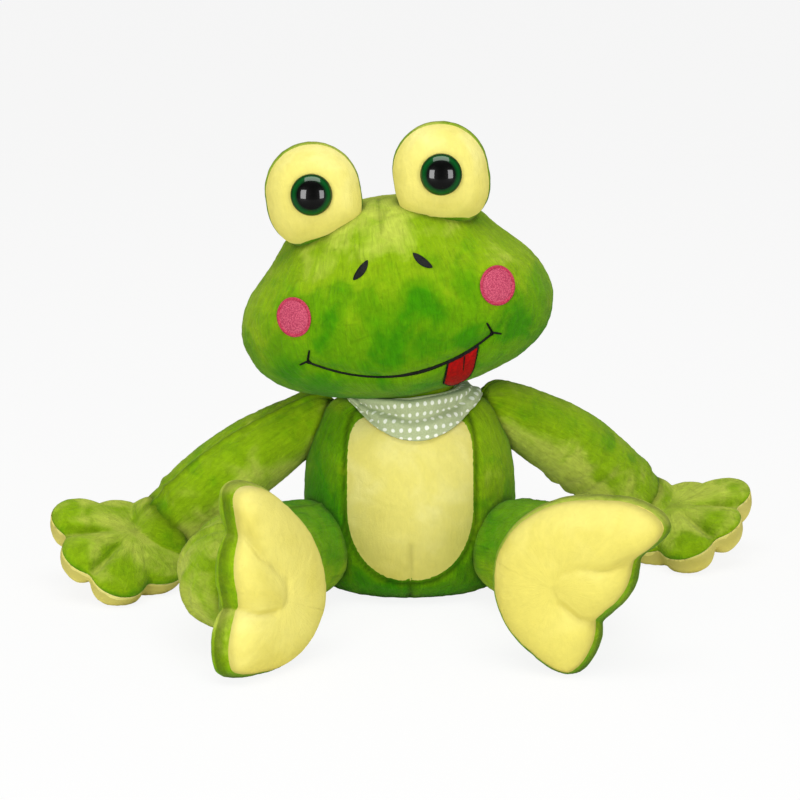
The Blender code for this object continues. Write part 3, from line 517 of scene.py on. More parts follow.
for side_turn in (0, TORSO_TURNS // 2):
    side_rows = [int(level * (TORSO_RINGS - 1)) for level in np.linspace(0.06, 0.9, 24)]
    side_line = [torso_rings[row][side_turn] for row in side_rows]
    away = from_line(torso_spots, side_line)
    push(torso, -0.9 * MM * bell(away, 1.5 * MM))
    darken(torso, 0.6 * bell(away, 1.2 * MM))
for name in ("left", "right"):
    near = np.linalg.norm(points_of(torso) - JOINT_AT["arm_" + name], axis=1)
    push(torso, 3.2 * MM * bell(near, 19 * MM))
    sign = 1 if name == "left" else -1
    near = np.linalg.norm(points_of(torso) - (sign * 0.038, -0.008, 0.094), axis=1)
    set_points(torso, points_of(torso) + np.outer(bell(near, 15 * MM), (0, 0, 7 * MM)))
fuzz(torso, 1)
above_floor(torso, 0.2 * MM)
dye(torso, points_of(torso), -0.25, [((0.05, -0.04, 0.07), 0.03, 0.35), ((-0.05, -0.03, 0.06), 0.03, -0.2)])
dressed(torso, green_pile_plush, "green_plush", "torso", "torso", fill=0.85)

on_torso = seen_from_front(torso)


def patch(name, outline, seat, rings, count, height_of, tuck, matrix=None):
    """A closed sewn-on patch: outline(turn) and seat are seen from the front, height_of(share, turn) is its loft."""
    over, under = [], []
    for r in range(rings + 1):
        share = math.sin(math.pi / 2 * r / rings)
        for i in range(count if r else 1):
            turn = TAU * i / count
            cx, cz, ox, oz = outline(turn)
            place, normal = seat(cx + ox * share, cz + oz * share, matrix)
            over.append(place + normal * height_of(share, turn))
            under.append(place - normal * tuck)
    total = len(over)
    faces = []
    for i in range(count):
        j = (i + 1) % count
        faces.append((0, 1 + i, 1 + j))
        faces.append((total, total + 1 + j, total + 1 + i))
        for r in range(rings - 1):
            a, b = 1 + r * count + i, 1 + r * count + j
            faces.append((a, a + count, b + count, b))
            faces.append((total + a, total + b, total + b + count, total + a + count))
        a, b = 1 + (rings - 1) * count + i, 1 + (rings - 1) * count + j
        faces.append((a, a + total, b + total, b))
    made = add_mesh(name, over + under, faces)
    mark(made, "rest", points_of(made))
    mark(made, "nap", points_of(made)[:, (2, 0, 1)])
    return made


def belly_outline(turn):
    return 0, belly_middle, *belly_edge(turn, 0.6 * MM)


belly = patch(
    "belly_plush", belly_outline, on_torso, 26, 150,
    lambda share, turn: 2.6 * MM * (1 - share**5) - 0.4 * MM * share, 1.2 * MM,
)  # fmt: skip
dart = np.array([on_torso(0.0005, z)[0] for z in np.linspace(BELLY_BOTTOM, BELLY_BOTTOM + 0.022, 12)])
from_dart = from_line(points_of(belly) + (0, 0.002, 0), dart)
push(belly, -1.0 * MM * bell(from_dart, 1.6 * MM))
darken(belly, 0.30 * bell(from_dart, 1.1 * MM))
dye(belly, points_of(belly), 0.08, [((0.012, -0.05, 0.06), 0.02, 0.15)])
dressed(belly, yellow_pile_plush, "yellow_plush", "torso", "belly_panel", fill=0.8)


# ---------------------------------------------------------------- head

NECK = JOINT_AT["neck"]
head_frame = (
    Matrix.Translation(NECK)
    @ Matrix.Rotation(math.radians(-9), 4, "Y")
    @ Matrix.Rotation(math.radians(-6), 4, "X")
    @ Matrix.Translation((0, -0.008, 0.0485))
)
HEAD_SIZE = (0.166, 0.106, 0.104)
HEAD_BOTTOM = -HEAD_SIZE[2] * 0.464
HEAD_LEVELS = (0, 0, .02, .06, .11, .17, .24, .32, .41, .50, .59, .68, .77, .85, .92, .97, 1, 1)  # fmt: skip
HEAD_WIDTHS = (0, .20, .38, .57, .73, .85, .935, .98, 1, .98, .92, .825, .72, .64, .56, .44, .28, 0)  # fmt: skip
HEAD_DEPTHS = (0, .24, .42, .60, .74, .85, .93, .98, 1, .99, .955, .90, .83, .74, .62, .47, .30, 0)  # fmt: skip

head_rows = list(zip(HEAD_LEVELS, HEAD_WIDTHS, HEAD_DEPTHS))
head_rings = stacked(head_rows, HEAD_SIZE, HEAD_BOTTOM, 2.15, 130, 240)
head = closed_skin("head_plush", head_rings, (0, 0, HEAD_BOTTOM), (0, 0, HEAD_BOTTOM + HEAD_SIZE[2]))
head_spots = points_of(head)
mark(head, "rest", head_spots)
face_turn = np.arctan2(head_spots[:, 0], -head_spots[:, 1])
mark(head, "nap", np.stack((head_spots[:, 2], face_turn * 0.065, 0 * face_turn), 1))
on_plain_head = seen_from_front(head)

MOUTH_HALF, MOUTH_DROP, MOUTH_SAG = 0.0470, 0.0200, 0.0135


def mouth_height(x):
    return -MOUTH_DROP - MOUTH_SAG * (1 - (x / MOUTH_HALF) ** 2)


mouth_line = np.array([on_plain_head(x, mouth_height(x))[0] for x in np.linspace(-MOUTH_HALF, MOUTH_HALF, 60)])
x, y, z = head_spots.T
in_front = eased(-y, 0.0, 0.02)
from_mouth = from_line(head_spots, mouth_line)
swell = (
    2.0 * MM * bell(np.hypot(np.abs(x) - 0.056, z - 0.002), 0.020)
    + 1.6 * MM * bell(np.hypot(x, (z - 0.008) * 1.2), 0.030)
    + 1.4 * MM * bell(np.hypot(x * 0.6, z + 0.041), 0.012)
    - 1.5 * MM * bell(np.hypot((np.abs(x) - 0.034) * 0.7, z - 0.030), 0.014)
)
push(head, in_front * (swell - 1.5 * MM * bell(from_mouth, 3.2 * MM)))
top_line = [row[180] for row in head_rings[84:]]
away = from_line(head_spots, top_line)
push(head, -1.0 * MM * bell(away, 1.4 * MM) * eased(z, 0.036, 0.042))
darken(head, 0.45 * bell(away, 1.0 * MM) * eased(z, 0.036, 0.042))
around_line = [row[k] for k, rows in ((0, head_rings), (120, head_rings[::-1])) for row in rows]
away = from_line(head_spots, around_line)
push(head, -1.1 * MM * bell(away, 1.6 * MM))
darken(head, 0.6 * bell(away, 1.2 * MM))
# Colour patches on the face as (x, z, radius, amount). The first, on the brow, is a painted highlight; the others
# mottle the colour.
HEAD_DYE_AND_BROW_HIGHLIGHT = (
    (0, 0.042, 0.027, 0.46), (-0.062, 0.010, 0.012, 0.10), (-0.038, 0.008, 0.014, -0.15),
    (0.052, 0.022, 0.012, 0.15), (-0.072, -0.008, 0.010, 0.25), (0.014, 0.006, 0.008, -0.55),
    (0.003, 0.024, 0.007, -0.25), (-0.024, 0.016, 0.006, -0.25), (0.022, -0.004, 0.006, -0.3),
    (0.040, 0.010, 0.008, -0.30), (-0.058, -0.022, 0.010, -0.35), (-0.044, -0.038, 0.010, -0.45),
    (0.046, 0.026, 0.006, -0.3), (-0.005, -0.022, 0.010, -0.30), (0.062, -0.016, 0.008, -0.30),
    (0.036, -0.020, 0.007, -0.25), (-0.032, 0.002, 0.006, -0.2),
)  # fmt: skip
HEAD_DYE_AND_BROW_HIGHLIGHT = [((a, -0.05, b), r, k) for a, b, r, k in HEAD_DYE_AND_BROW_HIGHLIGHT]
flat_head = np.stack((x, 0 * x - 0.05, z), 1)
dye(head, flat_head, -0.10, HEAD_DYE_AND_BROW_HIGHLIGHT + [((0.012, -0.05, 0.008), 0.026, -0.22)])
fuzz(head, 3, 0.9 * MM)
set_points(head, placed(head_frame, points_of(head)))
dressed(head, green_pile_plush, "green_plush", "head", "head", fill=0.9)

on_head = seen_from_front(head)


def face_patch(name, centre, outline, rings, count, height_of, tuck=0.6 * MM):
    def edge(turn):
        return (*centre, *outline(turn))

    return patch(name, edge, on_head, rings, count, height_of, tuck, head_frame)


def tube(name, line, radius_of, count=10, flat=1.0, normals=None):
    """A closed round or flattened thread along a line of points."""
    line = np.asarray(line)
    ways = np.gradient(line, axis=0)
    ways /= np.linalg.norm(ways, axis=1)[:, None]
    rings = []
    for k, (spot, way) in enumerate(zip(line, ways)):
        up = normals[k] if normals is not None else np.array((0, 0, 1.0))
        side = np.cross(way, up)
        side /= np.linalg.norm(side)
        up = np.cross(side, way)
        turn = TAU * np.arange(count) / count
        radius = radius_of(k / (len(line) - 1))
        rings.append(spot + radius * (np.cos(turn)[:, None] * side + flat * np.sin(turn)[:, None] * up))
    made = closed_skin(name, np.array(rings), line[0], line[-1])
    mark(made, "rest", points_of(made))
    return made


def on_face(spots, lift=0.0):
    """Places and normals on the head behind (x, z) spots of its own front."""
    found = [on_head(x, z, head_frame) for x, z in spots]
    normals = np.array([n for _, n in found])
    return np.array([p for p, _ in found]) + normals * lift, normals


def thread_line(name, spots, thickness, count=90):
    """Satin stitches along a line on the face: thickness(share) is the line's half width."""
    spots = through(spots, count)
    line, normals = on_face(spots, 0.25 * MM)

    def radius(share):
        return thickness(share) * (1 + 0.10 * math.sin(share * count * TAU / 3))

    return tube(name, line, radius, 10, 0.75, normals)


mouth_spots = [(x, mouth_height(x)) for x in np.linspace(-MOUTH_HALF, MOUTH_HALF, 15)]
mouth = thread_line(
    "mouth_thread", mouth_spots, lambda s: MM * (0.62 + 0.45 * math.exp(-(((s - 0.60) / 0.16) ** 2))), 180
)
dressed(mouth, black_embroidery, "black_thread", "head", "mouth_stitching")
for name, sign in (("left", 1), ("right", -1)):
    end = (sign * MOUTH_HALF, mouth_height(MOUTH_HALF))
    up = (sign * (MOUTH_HALF - 0.0012), end[1] + 0.0068)
    out = (sign * (MOUTH_HALF + 0.0052), end[1] - 0.0004)
    middle = (sign * (MOUTH_HALF + 0.0008), end[1] + 0.001)
    for part, tip in (("up", up), ("out", out)):
        fork = thread_line(
            "mouth_fork_%s_%s" % (part, name), [end, middle, tip], lambda s: MM * (0.85 - 0.35 * s), 24
        )
        dressed(fork, black_embroidery, "black_thread", "head")

# Cheeks, nostrils and tongue
CHEEK_SIZE = (0.0170, 0.0190)
for name, sign, cheek_side, nostril_side in (("left", 1, 0.0540, 0.0185), ("right", -1, -0.0510, -0.0135)):
    centre = (cheek_side, 0.0045)
    cheek = face_patch(
        "cheek_embroidery_" + name, centre, lambda turn: oval(turn, *CHEEK_SIZE), 14, 60,
        lambda share, turn: MM * (0.75 - 0.25 * share**4),
    )  # fmt: skip
    dressed(cheek, rose_embroidery, "rose_satin", "head", "cheek_" + name)
    spots = []
    for k in range(73):
        dx, dz = oval(TAU * k / 72, CHEEK_SIZE[0] - 0.6 * MM, CHEEK_SIZE[1] - 0.6 * MM)
        spots.append((centre[0] + dx, centre[1] + dz))
    line, normals = on_face(spots, 0.55 * MM)
    edging = tube(
        "cheek_edging_" + name, line, lambda s: 0.85 * MM * (1 + 0.12 * math.sin(s * 72 * math.pi)), 10, 0.6, normals
    )
    dressed(edging, rose_edging, "rose_satin", "head")

    def leaf(turn, sign=sign):
        """A leaf shape, pointed at both ends, that leans in at its top."""
        a = 2.5 * MM * math.cos(turn) * abs(math.cos(turn)) ** 0.5 * (1.0 if sign * math.cos(turn) < 0 else 0.55)
        b = 6.2 * MM * math.sin(turn)
        c, s = math.cos(sign * math.radians(45)), math.sin(sign * math.radians(45))
        return a * c - b * s, a * s + b * c

    nostril = face_patch(
        "nostril_embroidery_" + name, (nostril_side, 0.0235), leaf, 6, 40,
        lambda share, turn: MM * (0.75 - 0.35 * share**3),
    )  # fmt: skip
    dressed(nostril, black_embroidery, "black_thread", "head", "nostril_" + name)

TONGUE_SIDE, TONGUE_WIDTH, TONGUE_LENGTH = 0.0300, 0.0165, 0.0155


def tongue_spot(across, down):
    """A place on the tongue: across from -1 to 1, down from 0 at the mouth to 1 at the tip."""
    x = TONGUE_SIDE + across * TONGUE_WIDTH / 2
    top = mouth_height(x)
    drop = TONGUE_LENGTH * (1 - 0.30 * abs(across) ** 3)
    return x + TONGUE_WIDTH * (0.08 - 0.24 * down), top - drop * down


tongue_edge = [tongue_spot(a, 0) for a in np.linspace(-1, 1, 12)]
tongue_edge += [tongue_spot(1, d) for d in np.linspace(0, 1, 10)[1:]]
tongue_edge += [tongue_spot(a, 1) for a in np.linspace(1, -1, 24)[1:]]
tongue_edge += [tongue_spot(-1, d) for d in np.linspace(1, 0, 10)[1:-1]]
tongue_middle = (TONGUE_SIDE - 0.001, mouth_height(TONGUE_SIDE) - 0.0075)


def tongue_outline(turn):
    x, z = tongue_edge[int(round(turn / TAU * len(tongue_edge))) % len(tongue_edge)]
    return x - tongue_middle[0], z - tongue_middle[1]


tongue = face_patch(
    "tongue_felt", tongue_middle, tongue_outline, 10, len(tongue_edge),
    lambda share, turn: MM * (1.9 - 0.9 * share**4),
)  # fmt: skip
dressed(tongue, red_felt, "red_felt", "head", "tongue")
line, normals = on_face(through(tongue_edge + tongue_edge[:1], 110), 0.7 * MM)
tongue_rim = tube(
    "tongue_edging", line, lambda s: 0.62 * MM * (1 + 0.1 * math.sin(s * 110 * TAU / 3)), 8, 0.9, normals
)
dressed(tongue_rim, black_embroidery, "black_thread", "head")
line, normals = on_face([tongue_spot(0.05, d) for d in np.linspace(0.02, 0.48, 16)], 1.75 * MM)
tongue_crease = tube("tongue_centre_thread", line, lambda s: 0.38 * MM, 8, 0.7, normals)
dressed(tongue_crease, black_embroidery, "black_thread", "head")

# ---------------------------------------------------------------- pads: eye stalks, hands and feet


def pillow(name, edge, heights, rings, count):
    """A closed pad on the XY plane: edge is the reach at each turn, heights(x, y, share, side) its two lofts."""
    turn = TAU * np.arange(count) / count
    shares = np.sin(math.pi / 2 * np.arange(1, rings + 1) / rings)
    rows, sides, share_rows = [], [], []
    for side, steps in ((1, shares), (-1, shares[-2::-1])):
        for share in steps:
            x, y = edge * share * np.cos(turn), edge * share * np.sin(turn)
            z = heights(x, y, np.full(count, share), side)
            rows.append(np.stack((x, y, z), 1))
            sides.append(np.full(count, side))
            share_rows.append(np.full(count, share))
    middle = np.zeros(1)
    low = (0, 0, heights(middle, middle, middle, 1)[0])
    high = (0, 0, heights(middle, middle, middle, -1)[0])
    made = closed_skin(name, np.array(rows)[:, ::-1], low, high)
    share = np.concatenate([r[::-1] for r in share_rows] + [[0], [0]])
    side = np.concatenate([r[::-1] for r in sides] + [[1], [-1]])
    return made, share, side


def fanned(reach_shares, radius_shares, angles, palm):
    """Outline of a hand: round lobes about a palm."""
    count = 168
    turn = TAU * np.arange(count) / count
    edge = np.full(count, palm)
    for angle, reach, radius in zip(angles, reach_shares, radius_shares):
        off = np.remainder(turn - angle + math.pi, TAU) - math.pi
        aside = reach * palm * np.sin(off)
        inside = (np.abs(off) < math.pi / 2) & (np.abs(aside) < radius * palm)
        chord = np.sqrt(np.maximum((radius * palm) ** 2 - aside**2, 0))
        edge = np.where(inside, np.maximum(edge, reach * palm * np.cos(off) + chord), edge)
    return smoothed(edge, 3, 2)


def creased(creases, wide, inner):
    """Lofts from 0 to 1: even, with lines of (points, depth) pressed in as valleys of the given width. Away
    from its first point a valley's depth falls to the share inner."""

    def lofts(x, y):
        spots = np.stack((x, y, 0 * x), 1)
        total = np.full(len(x), 0.93)
        for line, depth in creases:
            line = np.array([(*p, 0.0) for p in line])
            away = from_line(spots, line)
            fade = inner + (1 - inner) * bell(np.linalg.norm(spots - line[0], axis=1), 15 * MM)
            total = np.minimum(total, 0.93 - depth * fade * (0.45 * bell(away, 1.7 * MM) + 0.55 * bell(away, wide)))
        return total

    return lofts


def webbed(turns, reaches):
    """Outline of a webbed foot, from reaches at turns in degrees."""
    count = 216
    turn = TAU * np.arange(count) / count
    knots = np.radians(np.concatenate([np.array(turns) + 360 * k for k in (-1, 0, 1)]))
    edge = np.interp(np.remainder(turn + math.pi, TAU) - math.pi, knots, np.tile(reaches, 3))
    return smoothed(edge, 2, 4)


HALF_PAD = 0.0135
FOOT_TURNS = (
    -172, -160, -146, -133, -120, -108, -91, -77, -68, -62, -53, -42, -31, -25, -19, -10, -1.5, 14, 26, 35,
    41, 45.5, 47, 51, 56, 61.5, 74, 84, 95, 107, 121, 136, 152, 166, 177,
)  # fmt: skip
FOOT_REACHES = np.array((
    33.9, 33.2, 32.8, 32.7, 33.1, 33.7, 35.2, 38.6, 40.9, 41.9, 38.9, 33.9, 29.2, 26.4, 23.3, 24.2, 25.6, 30.2,
    33.9, 36.2,
    37.9, 39.5, 52.0, 58.6, 59.7, 58.5, 53.3, 48.3, 44.4, 41.7, 39.1, 37.3, 36.1, 35.3, 34.8,
)) * MM  # fmt: skip
FOOT_CREASES = (
    (np.array(((28.5, 28.5), (20, 18.5), (9, 14))) * MM, 0.36),
    (np.array(((24, -8.5), (14, -8.5), (5, -6))) * MM, 0.36),
    (np.array(((9, 14), (1.5, 10), (-1, 3.5), (0.5, -3), (5, -6))) * MM, 0.16),
)


def frame_at(pivot, local, ahead, under_normal):
    """The pad's frame, from its joint's place: X ahead and -Z the underside's normal."""
    up = -Vector(under_normal).normalized()
    x = (Vector(ahead) - up * Vector(ahead).dot(up)).normalized()
    turn = Matrix((x, up.cross(x), up)).transposed().to_4x4()
    return Matrix.Translation(Vector(pivot)) @ turn @ Matrix.Translation(-Vector(local))


def pad_with_panel(
    names, frame_matrix, mirrored, edge, lobes, mound, seed, pales, tips, bulge, setback, seam_height, wall, crown
):
    """A green pad and the yellow panel sewn to its underside. mound(x, y) is extra loft where the limb joins.

    Behind the seam the green wall swells by bulge, widest at setback. wall and crown are how upright the sides
    are below and above."""

    def green(x, y, share, side):
        rim = np.maximum(0, 1 - share ** (crown if side > 0 else wall)) ** 0.5
        loft = HALF_PAD * lobes(x, y) * rim
        if side > 0:
            top = setback * (1 - rim) + loft
            return np.maximum(top, mound(x, y) * np.maximum(0, 1 - share**8) ** 0.5)
        return setback * (1 - rim) - 0.72 * loft

    def yellow(x, y, share, side):
        rim = np.maximum(0, 1 - share ** (wall - 0.5)) ** 0.5
        loft = HALF_PAD * lobes(x, y) * rim
        return seam_height * (1 - rim) - loft * (1.03 if side < 0 else 0.45)

    flip = np.array((1, -1 if mirrored else 1, 1))
    made = []
    tuck = 0.996 if bulge < 0 else 0.988
    for name, heights, outline in ((names[0], green, edge + bulge), (names[1], yellow, edge * tuck)):
        piece, share, side = pillow(name, outline, heights, 36, len(edge))
        if mirrored:
            piece.data.flip_normals()
        spots = points_of(piece) * flip
        set_points(piece, spots)
        x, y, z = spots.T
        mark(piece, "nap", np.stack((np.hypot(x, y), np.arctan2(y, x) * 0.02, z), 1))
        at_rim = bell(1 - share, 0.035)
        # Painted shade in the valleys between the fingers and toes.
        valley_shade = eased(0.90 - lobes(spots[:, 0], (spots * flip)[:, 1]), 0, 0.35)
        darken(piece, (0.8 if name == names[0] else 0.35) * at_rim * (side < 0))
        darken(piece, (0.30 if name == names[0] else 0.20) * valley_shade)
        flat_spots = spots * flip * (1, 1, 0)
        set_points(piece, placed(frame_matrix, spots))
        mark(piece, "rest", points_of(piece))
        dye(piece, flat_spots, pales[name == names[1]], tips if name == names[0] else ())
        fuzz(piece, seed, 0.35 * MM, 0.14 * MM)
        above_floor(piece, 0.3 * MM)
        made.append(piece)
    return made


# ---------------------------------------------------------------- limbs


def limb_rings(path, radii, power, rings, count):
    """Rings along a bent tube with round ends, and each ring's share of the way."""
    start, handle, end = (np.asarray(p, float) for p in path)
    first, middle, last = radii

    def along(t):
        return start * (1 - t) ** 2 + handle * 2 * t * (1 - t) + end * t**2

    def heading(t):
        way = (handle - start) * (1 - t) + (end - handle) * t
        return way / np.linalg.norm(way)

    rows = []
    for step in range(1, 10):
        tip = math.pi / 2 * step / 10
        rows.append((start - heading(0) * first * math.cos(tip), 0.0, first * math.sin(tip)))
    for step in range(rings + 1):
        t = step / rings
        ends = first + (last - first) * t
        radius = ends + (middle - (first + last) / 2) * max(0, math.sin(math.pi * t)) ** power
        rows.append((along(t), t, radius))
    for step in range(1, 10):
        tip = math.pi / 2 * step / 10
        rows.append((end + heading(1) * last * math.sin(tip), 1.0, last * math.cos(tip)))
    found = []
    turn = TAU * np.arange(count) / count
    for centre, t, radius in rows:
        way = heading(t)
        side = np.cross(way, (0, 0, 1.0))
        side /= np.linalg.norm(side)
        up = np.cross(side, way)
        found.append(centre + radius * (np.cos(turn)[:, None] * side + np.sin(turn)[:, None] * up))
    shares = np.array([t for _, t, _ in rows])
    return np.array(found), shares, start - heading(0) * first, end + heading(1) * last


def limb_skin(name, path, radii, power, seed, wrinkles, seams, paler, patches=()):
    """A stuffed limb: wrinkles are (share, turn, depth, width) folds with painted shade in them, and seams the turns
    where it is sewn.
    """
    rings, shares, low, high = limb_rings(path, radii, power, 84, 104)
    piece = closed_skin(name, rings, low, high)
    count = rings.shape[1]
    share = np.concatenate([np.repeat(shares, count), [0, 1]])
    turn = np.concatenate([np.tile(TAU * np.arange(count) / count, len(rings)), [0, 0]])
    length = float(np.linalg.norm(np.subtract(path[2], path[0])))
    spots = points_of(piece)
    mark(piece, "rest", spots)
    mark(piece, "nap", np.stack((share * length, np.abs(turn - math.pi) * radii[1], 0 * turn), 1))
    total = np.zeros(len(spots))
    dark = np.zeros(len(spots))
    for at, round_at, depth, width in wrinkles:
        off = np.remainder(turn - round_at + math.pi, TAU) - math.pi
        wander = 0.012 * soft_noise(spots, 9 * MM, seed + 2)
        total -= depth * bell(share - at + wander, width) * eased(np.cos(off), 0.0, 0.8)
        total += 0.6 * depth * bell(share - at + wander - 1.9 * width, width) * eased(np.cos(off), 0.0, 0.8)
        # Painted shade in the bottom of each wrinkle's fold.
        dark = np.maximum(dark, 0.35 * bell(share - at + wander, width * 0.7) * eased(np.cos(off), 0.2, 0.9))
    for round_at in seams:
        off = (np.remainder(turn - round_at + math.pi, TAU) - math.pi) * radii[1]
        pucker = 1 + 0.10 * np.sin(share * length / (5 * MM) * TAU)
        total -= 0.9 * MM * bell(off, 1.5 * MM) * pucker
        total += 0.35 * MM * bell(np.abs(off) - 3.5 * MM, 2.2 * MM) * pucker
        dark = np.maximum(dark, 0.7 * bell(off, 1.1 * MM))
    push(piece, total)
    darken(piece, dark)
    dye(piece, spots, paler, patches)
    fuzz(piece, seed, 0.8 * MM)
    return piece


HAND_ANGLES = tuple(math.radians(a) for a in (51, -1, -43, -112, 102))
HAND_REACHES = (1.08, 0.98, 1.05, 0.46, 0.40)
HAND_ROUNDS = (0.56, 0.56, 0.56, 0.80, 0.72)
PALM = 0.0275
HAND_CREASES = [
    ([(r * MM * math.cos(math.radians(t)), r * MM * math.sin(math.radians(t))) for r in (36, 25, 14)], 0.62)
    for t in (25.5, -22)
]
# Darker fingertips: painted shade on the fingers' fronts and undersides.
FINGERTIP_SHADE = [((1.25 * PALM * math.cos(a), 1.25 * PALM * math.sin(a), 0), 10 * MM, -0.22) for a in HAND_ANGLES[:3]]
SIDES = {
    "left": {
        "sign": 1,
        "fingers": (0.765, -0.644, -0.01),
        "palm": (0.329, 0.252, -0.91),
        "toes": (0.93, -0.2, -0.34),
        "sole": (-0.33, -0.92, 0.20),
        "shin": 0.046,
        "knee_paler": 0.1,
        "hand_paler": 0.22,
        "sole_paler": -0.45,
        "knee_rise": 0.005,
        "hand_wall": (-0.3 * MM, 4.5 * MM, 4.5 * MM, 8.0, 3.4),
        "arm_seam": -0.45,
        "root_rise": 2.5 * MM,
    },
    "right": {
        "sign": -1,
        "fingers": (-0.727, -0.687, -0.017),
        "palm": (-0.345, 0.387, -0.855),
        "toes": (-0.642, -0.669, 0.374),
        "sole": (0.751, -0.646, 0.134),
        "shin": 0.028,
        "knee_paler": 0.80,
        "hand_paler": 0.12,
        "sole_paler": -0.12,
        "knee_rise": 0.012,
        "hand_wall": (-0.3 * MM, 3.5 * MM, 3.5 * MM, 8.0, 3.4),
        "arm_seam": 0.50,
        "root_rise": 2.0 * MM,
    },
}
ARM_LEVEL_SHARE, ELBOW_DROP = 0.55, 0.0255
WRIST_LOCAL = (-0.0245, 0, 0.012)
ANKLE_LOCAL = (0, 0, 0.020)


def wrist_mound(x, y):
    away = np.hypot(x - WRIST_LOCAL[0], y) / 0.0245
    return 0.0275 * np.maximum(0, 1 - away**2.4) ** 0.5


def ankle_mound(x, y):
    away = np.hypot(x, y) / 0.0255
    return 0.0235 * np.maximum(0, 1 - away**2.2) ** 0.5


limbs = {}
for name, pose in SIDES.items():
    sign = pose["sign"]
    shoulder, wrist = JOINT_AT["arm_" + name], JOINT_AT["hand_" + name]
    hip, ankle = JOINT_AT["leg_" + name], JOINT_AT["foot_" + name]
    level = np.array((wrist[0] - shoulder[0], wrist[1] - shoulder[1], 0))
    elbow = shoulder + level * ARM_LEVEL_SHARE - (0, 0, ELBOW_DROP)
    root = shoulder + (-sign * 8 * MM, -1 * MM, pose["root_rise"])
    top, front = math.pi / 2, 0.0 if sign > 0 else math.pi
    arm = limb_skin(
        "arm_plush_" + name, (root, elbow, wrist), (0.0152, 0.0210, 0.0178), 1.05, 11 + sign,
        ((0.46, -top, 1.3 * MM, 0.030), (0.58, -top + 0.5, 1.0 * MM, 0.025), (0.86, top, 0.9 * MM, 0.030)),
        (top - sign * pose["arm_seam"],), 0.32,
    )  # fmt: skip
    hand_frame = frame_at(wrist, WRIST_LOCAL, pose["fingers"], pose["palm"])
    edge, lobes = fanned(HAND_REACHES, HAND_ROUNDS, HAND_ANGLES, PALM), creased(HAND_CREASES, 4.5 * MM, 0.25)
    hand, palm = pad_with_panel(
        ("hand_plush_" + name, "palm_plush_" + name), hand_frame, sign < 0, edge, lobes, wrist_mound, 21 + sign,
        (pose["hand_paler"], 0.1), FINGERTIP_SHADE, *pose["hand_wall"],
    )  # fmt: skip
    foot_frame = frame_at(ankle, ANKLE_LOCAL, pose["toes"], pose["sole"])
    edge, lobes = webbed(FOOT_TURNS, FOOT_REACHES * 1.015), creased(FOOT_CREASES, 7 * MM, 0.5)
    # The soles are made darker by sole_paler: painted shade that offsets the stronger lamp light on them.
    foot, sole = pad_with_panel(
        ("foot_plush_" + name, "sole_plush_" + name), foot_frame, sign > 0, edge, lobes, ankle_mound, 31 + sign,
        (0.15, pose["sole_paler"]), (), 1.9 * MM, 6 * MM, 0.0, 5.0, 5.0,
    )  # fmt: skip
    knee = np.array(foot_frame @ Vector((0, 0, ANKLE_LOCAL[2] + pose["shin"]))) + (0, 0, pose["knee_rise"])
    leg = limb_skin(
        "leg_plush_" + name, (hip - (0, 0, 5 * MM), knee, ankle), (0.0262, 0.0272, 0.0188), 1.2, 41 + sign,
        tuple((s, a, 1.5 * MM, 0.022) for s, a in ((0.42, 0.2), (0.52, 2.6), (0.60, 0.6), (0.70, 3.4), (0.78, 5.6))),
        (top + 0.3,), -0.10, [(knee, 46 * MM, pose["knee_paler"])],
    )  # fmt: skip
    above_floor(leg, 0.5 * MM)
    limbs[name] = {"arm": arm, "hand": hand, "palm": palm, "leg": leg, "foot": foot, "sole": sole}

# ---------------------------------------------------------------- eye stalks

